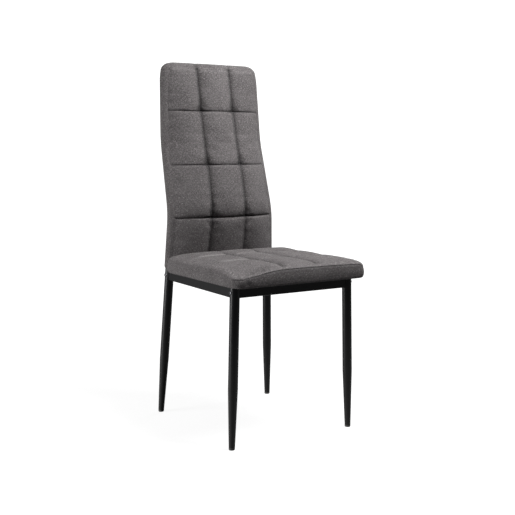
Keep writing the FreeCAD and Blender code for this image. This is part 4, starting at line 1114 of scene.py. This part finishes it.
# ---------------------------------------------------------------------------
# Floor and lights: a pale studio floor that shows from above only, a large soft
# light overhead, one on the left for the sides, and a weak one behind the right.
# ---------------------------------------------------------------------------
floor_mesh = bmesh.new()
bmesh.ops.create_grid(floor_mesh, x_segments=1, y_segments=1, size=60.0)
floor = link_mesh("floor", floor_mesh, shade=False)
pale_floor, pale_tree, pale_shader = new_material("pale_floor", Base_Color=(0.15, 0.15, 0.15, 1),
                                                  Roughness=0.9, Specular_IOR_Level=0.1)
floor_place = add(pale_tree, "ShaderNodeTexCoord").outputs["Object"]
distance = add(pale_tree, "ShaderNodeVectorMath", {0: floor_place}, operation="LENGTH").outputs["Value"]
pale_shader.inputs["Emission Color"].default_value = (1.0, 1.0, 1.0, 1.0)
glow = remap(pale_tree, distance, 0.8, 3.0, 0.9, 1.2)
ray = add(pale_tree, "ShaderNodeLightPath")
mirrored = maths(pale_tree, "MULTIPLY", ray.outputs["Is Glossy Ray"], 0.3)
watched = maths(pale_tree, "ADD", ray.outputs["Is Camera Ray"], mirrored)
pale_tree.links.new(maths(pale_tree, "MULTIPLY", glow, watched), pale_shader.inputs["Emission Strength"])
beneath = add(pale_tree, "ShaderNodeNewGeometry").outputs["Backfacing"]
clear = add(pale_tree, "ShaderNodeBsdfTransparent")
one_sided = add(pale_tree, "ShaderNodeMixShader", {"Fac": beneath, 1: pale_shader.outputs["BSDF"],
                                                   2: clear.outputs["BSDF"]})
pale_tree.links.new(one_sided.outputs["Shader"], pale_tree.nodes["Material Output"].inputs["Surface"])
floor.data.materials.append(pale_floor)


def softbox(name, place, aim, width, height, power):
    light = bpy.data.lights.new(name, "AREA")
    light.shape = "RECTANGLE"
    light.size = width
    light.size_y = height
    light.energy = power
    lamp = bpy.data.objects.new(name, light)
    lamp.location = place
    lamp.rotation_euler = (Vector(aim) - Vector(place)).to_track_quat("-Z", "Y").to_euler()
    bpy.context.scene.collection.objects.link(lamp)


softbox("light_overhead", place=(0.55, -0.64, 2.05), aim=(0.0, 0.0, 0.6), width=1.0, height=0.7, power=98.0)
softbox("light_left", place=(-2.5, 0.75, 0.55), aim=(0.0, 0.1, 0.55), width=1.0, height=1.1, power=105.0)
softbox("light_right", place=(2.1, 1.4, 1.2), aim=(0.0, 0.0, 0.45), width=0.8, height=0.8, power=14.0)

world = bpy.data.worlds.new("studio")
bpy.context.scene.world = world
world.use_nodes = True
sky = world.node_tree
sky.nodes.clear()
seen = add(sky, "ShaderNodeBackground", {"Color": (1.0, 1.0, 1.0, 1.0), "Strength": 1.3})
ambient = add(sky, "ShaderNodeBackground", {"Color": (1.0, 1.0, 1.0, 1.0), "Strength": 0.05})
path = add(sky, "ShaderNodeLightPath")
chosen = add(sky, "ShaderNodeMixShader", {"Fac": path.outputs["Is Camera Ray"],
                                          1: ambient.outputs["Background"], 2: seen.outputs["Background"]})
add(sky, "ShaderNodeOutputWorld", {"Surface": chosen.outputs["Shader"]})
bpy.context.scene.view_settings.view_transform = "Standard"
bpy.context.scene.view_settings.look = "None"
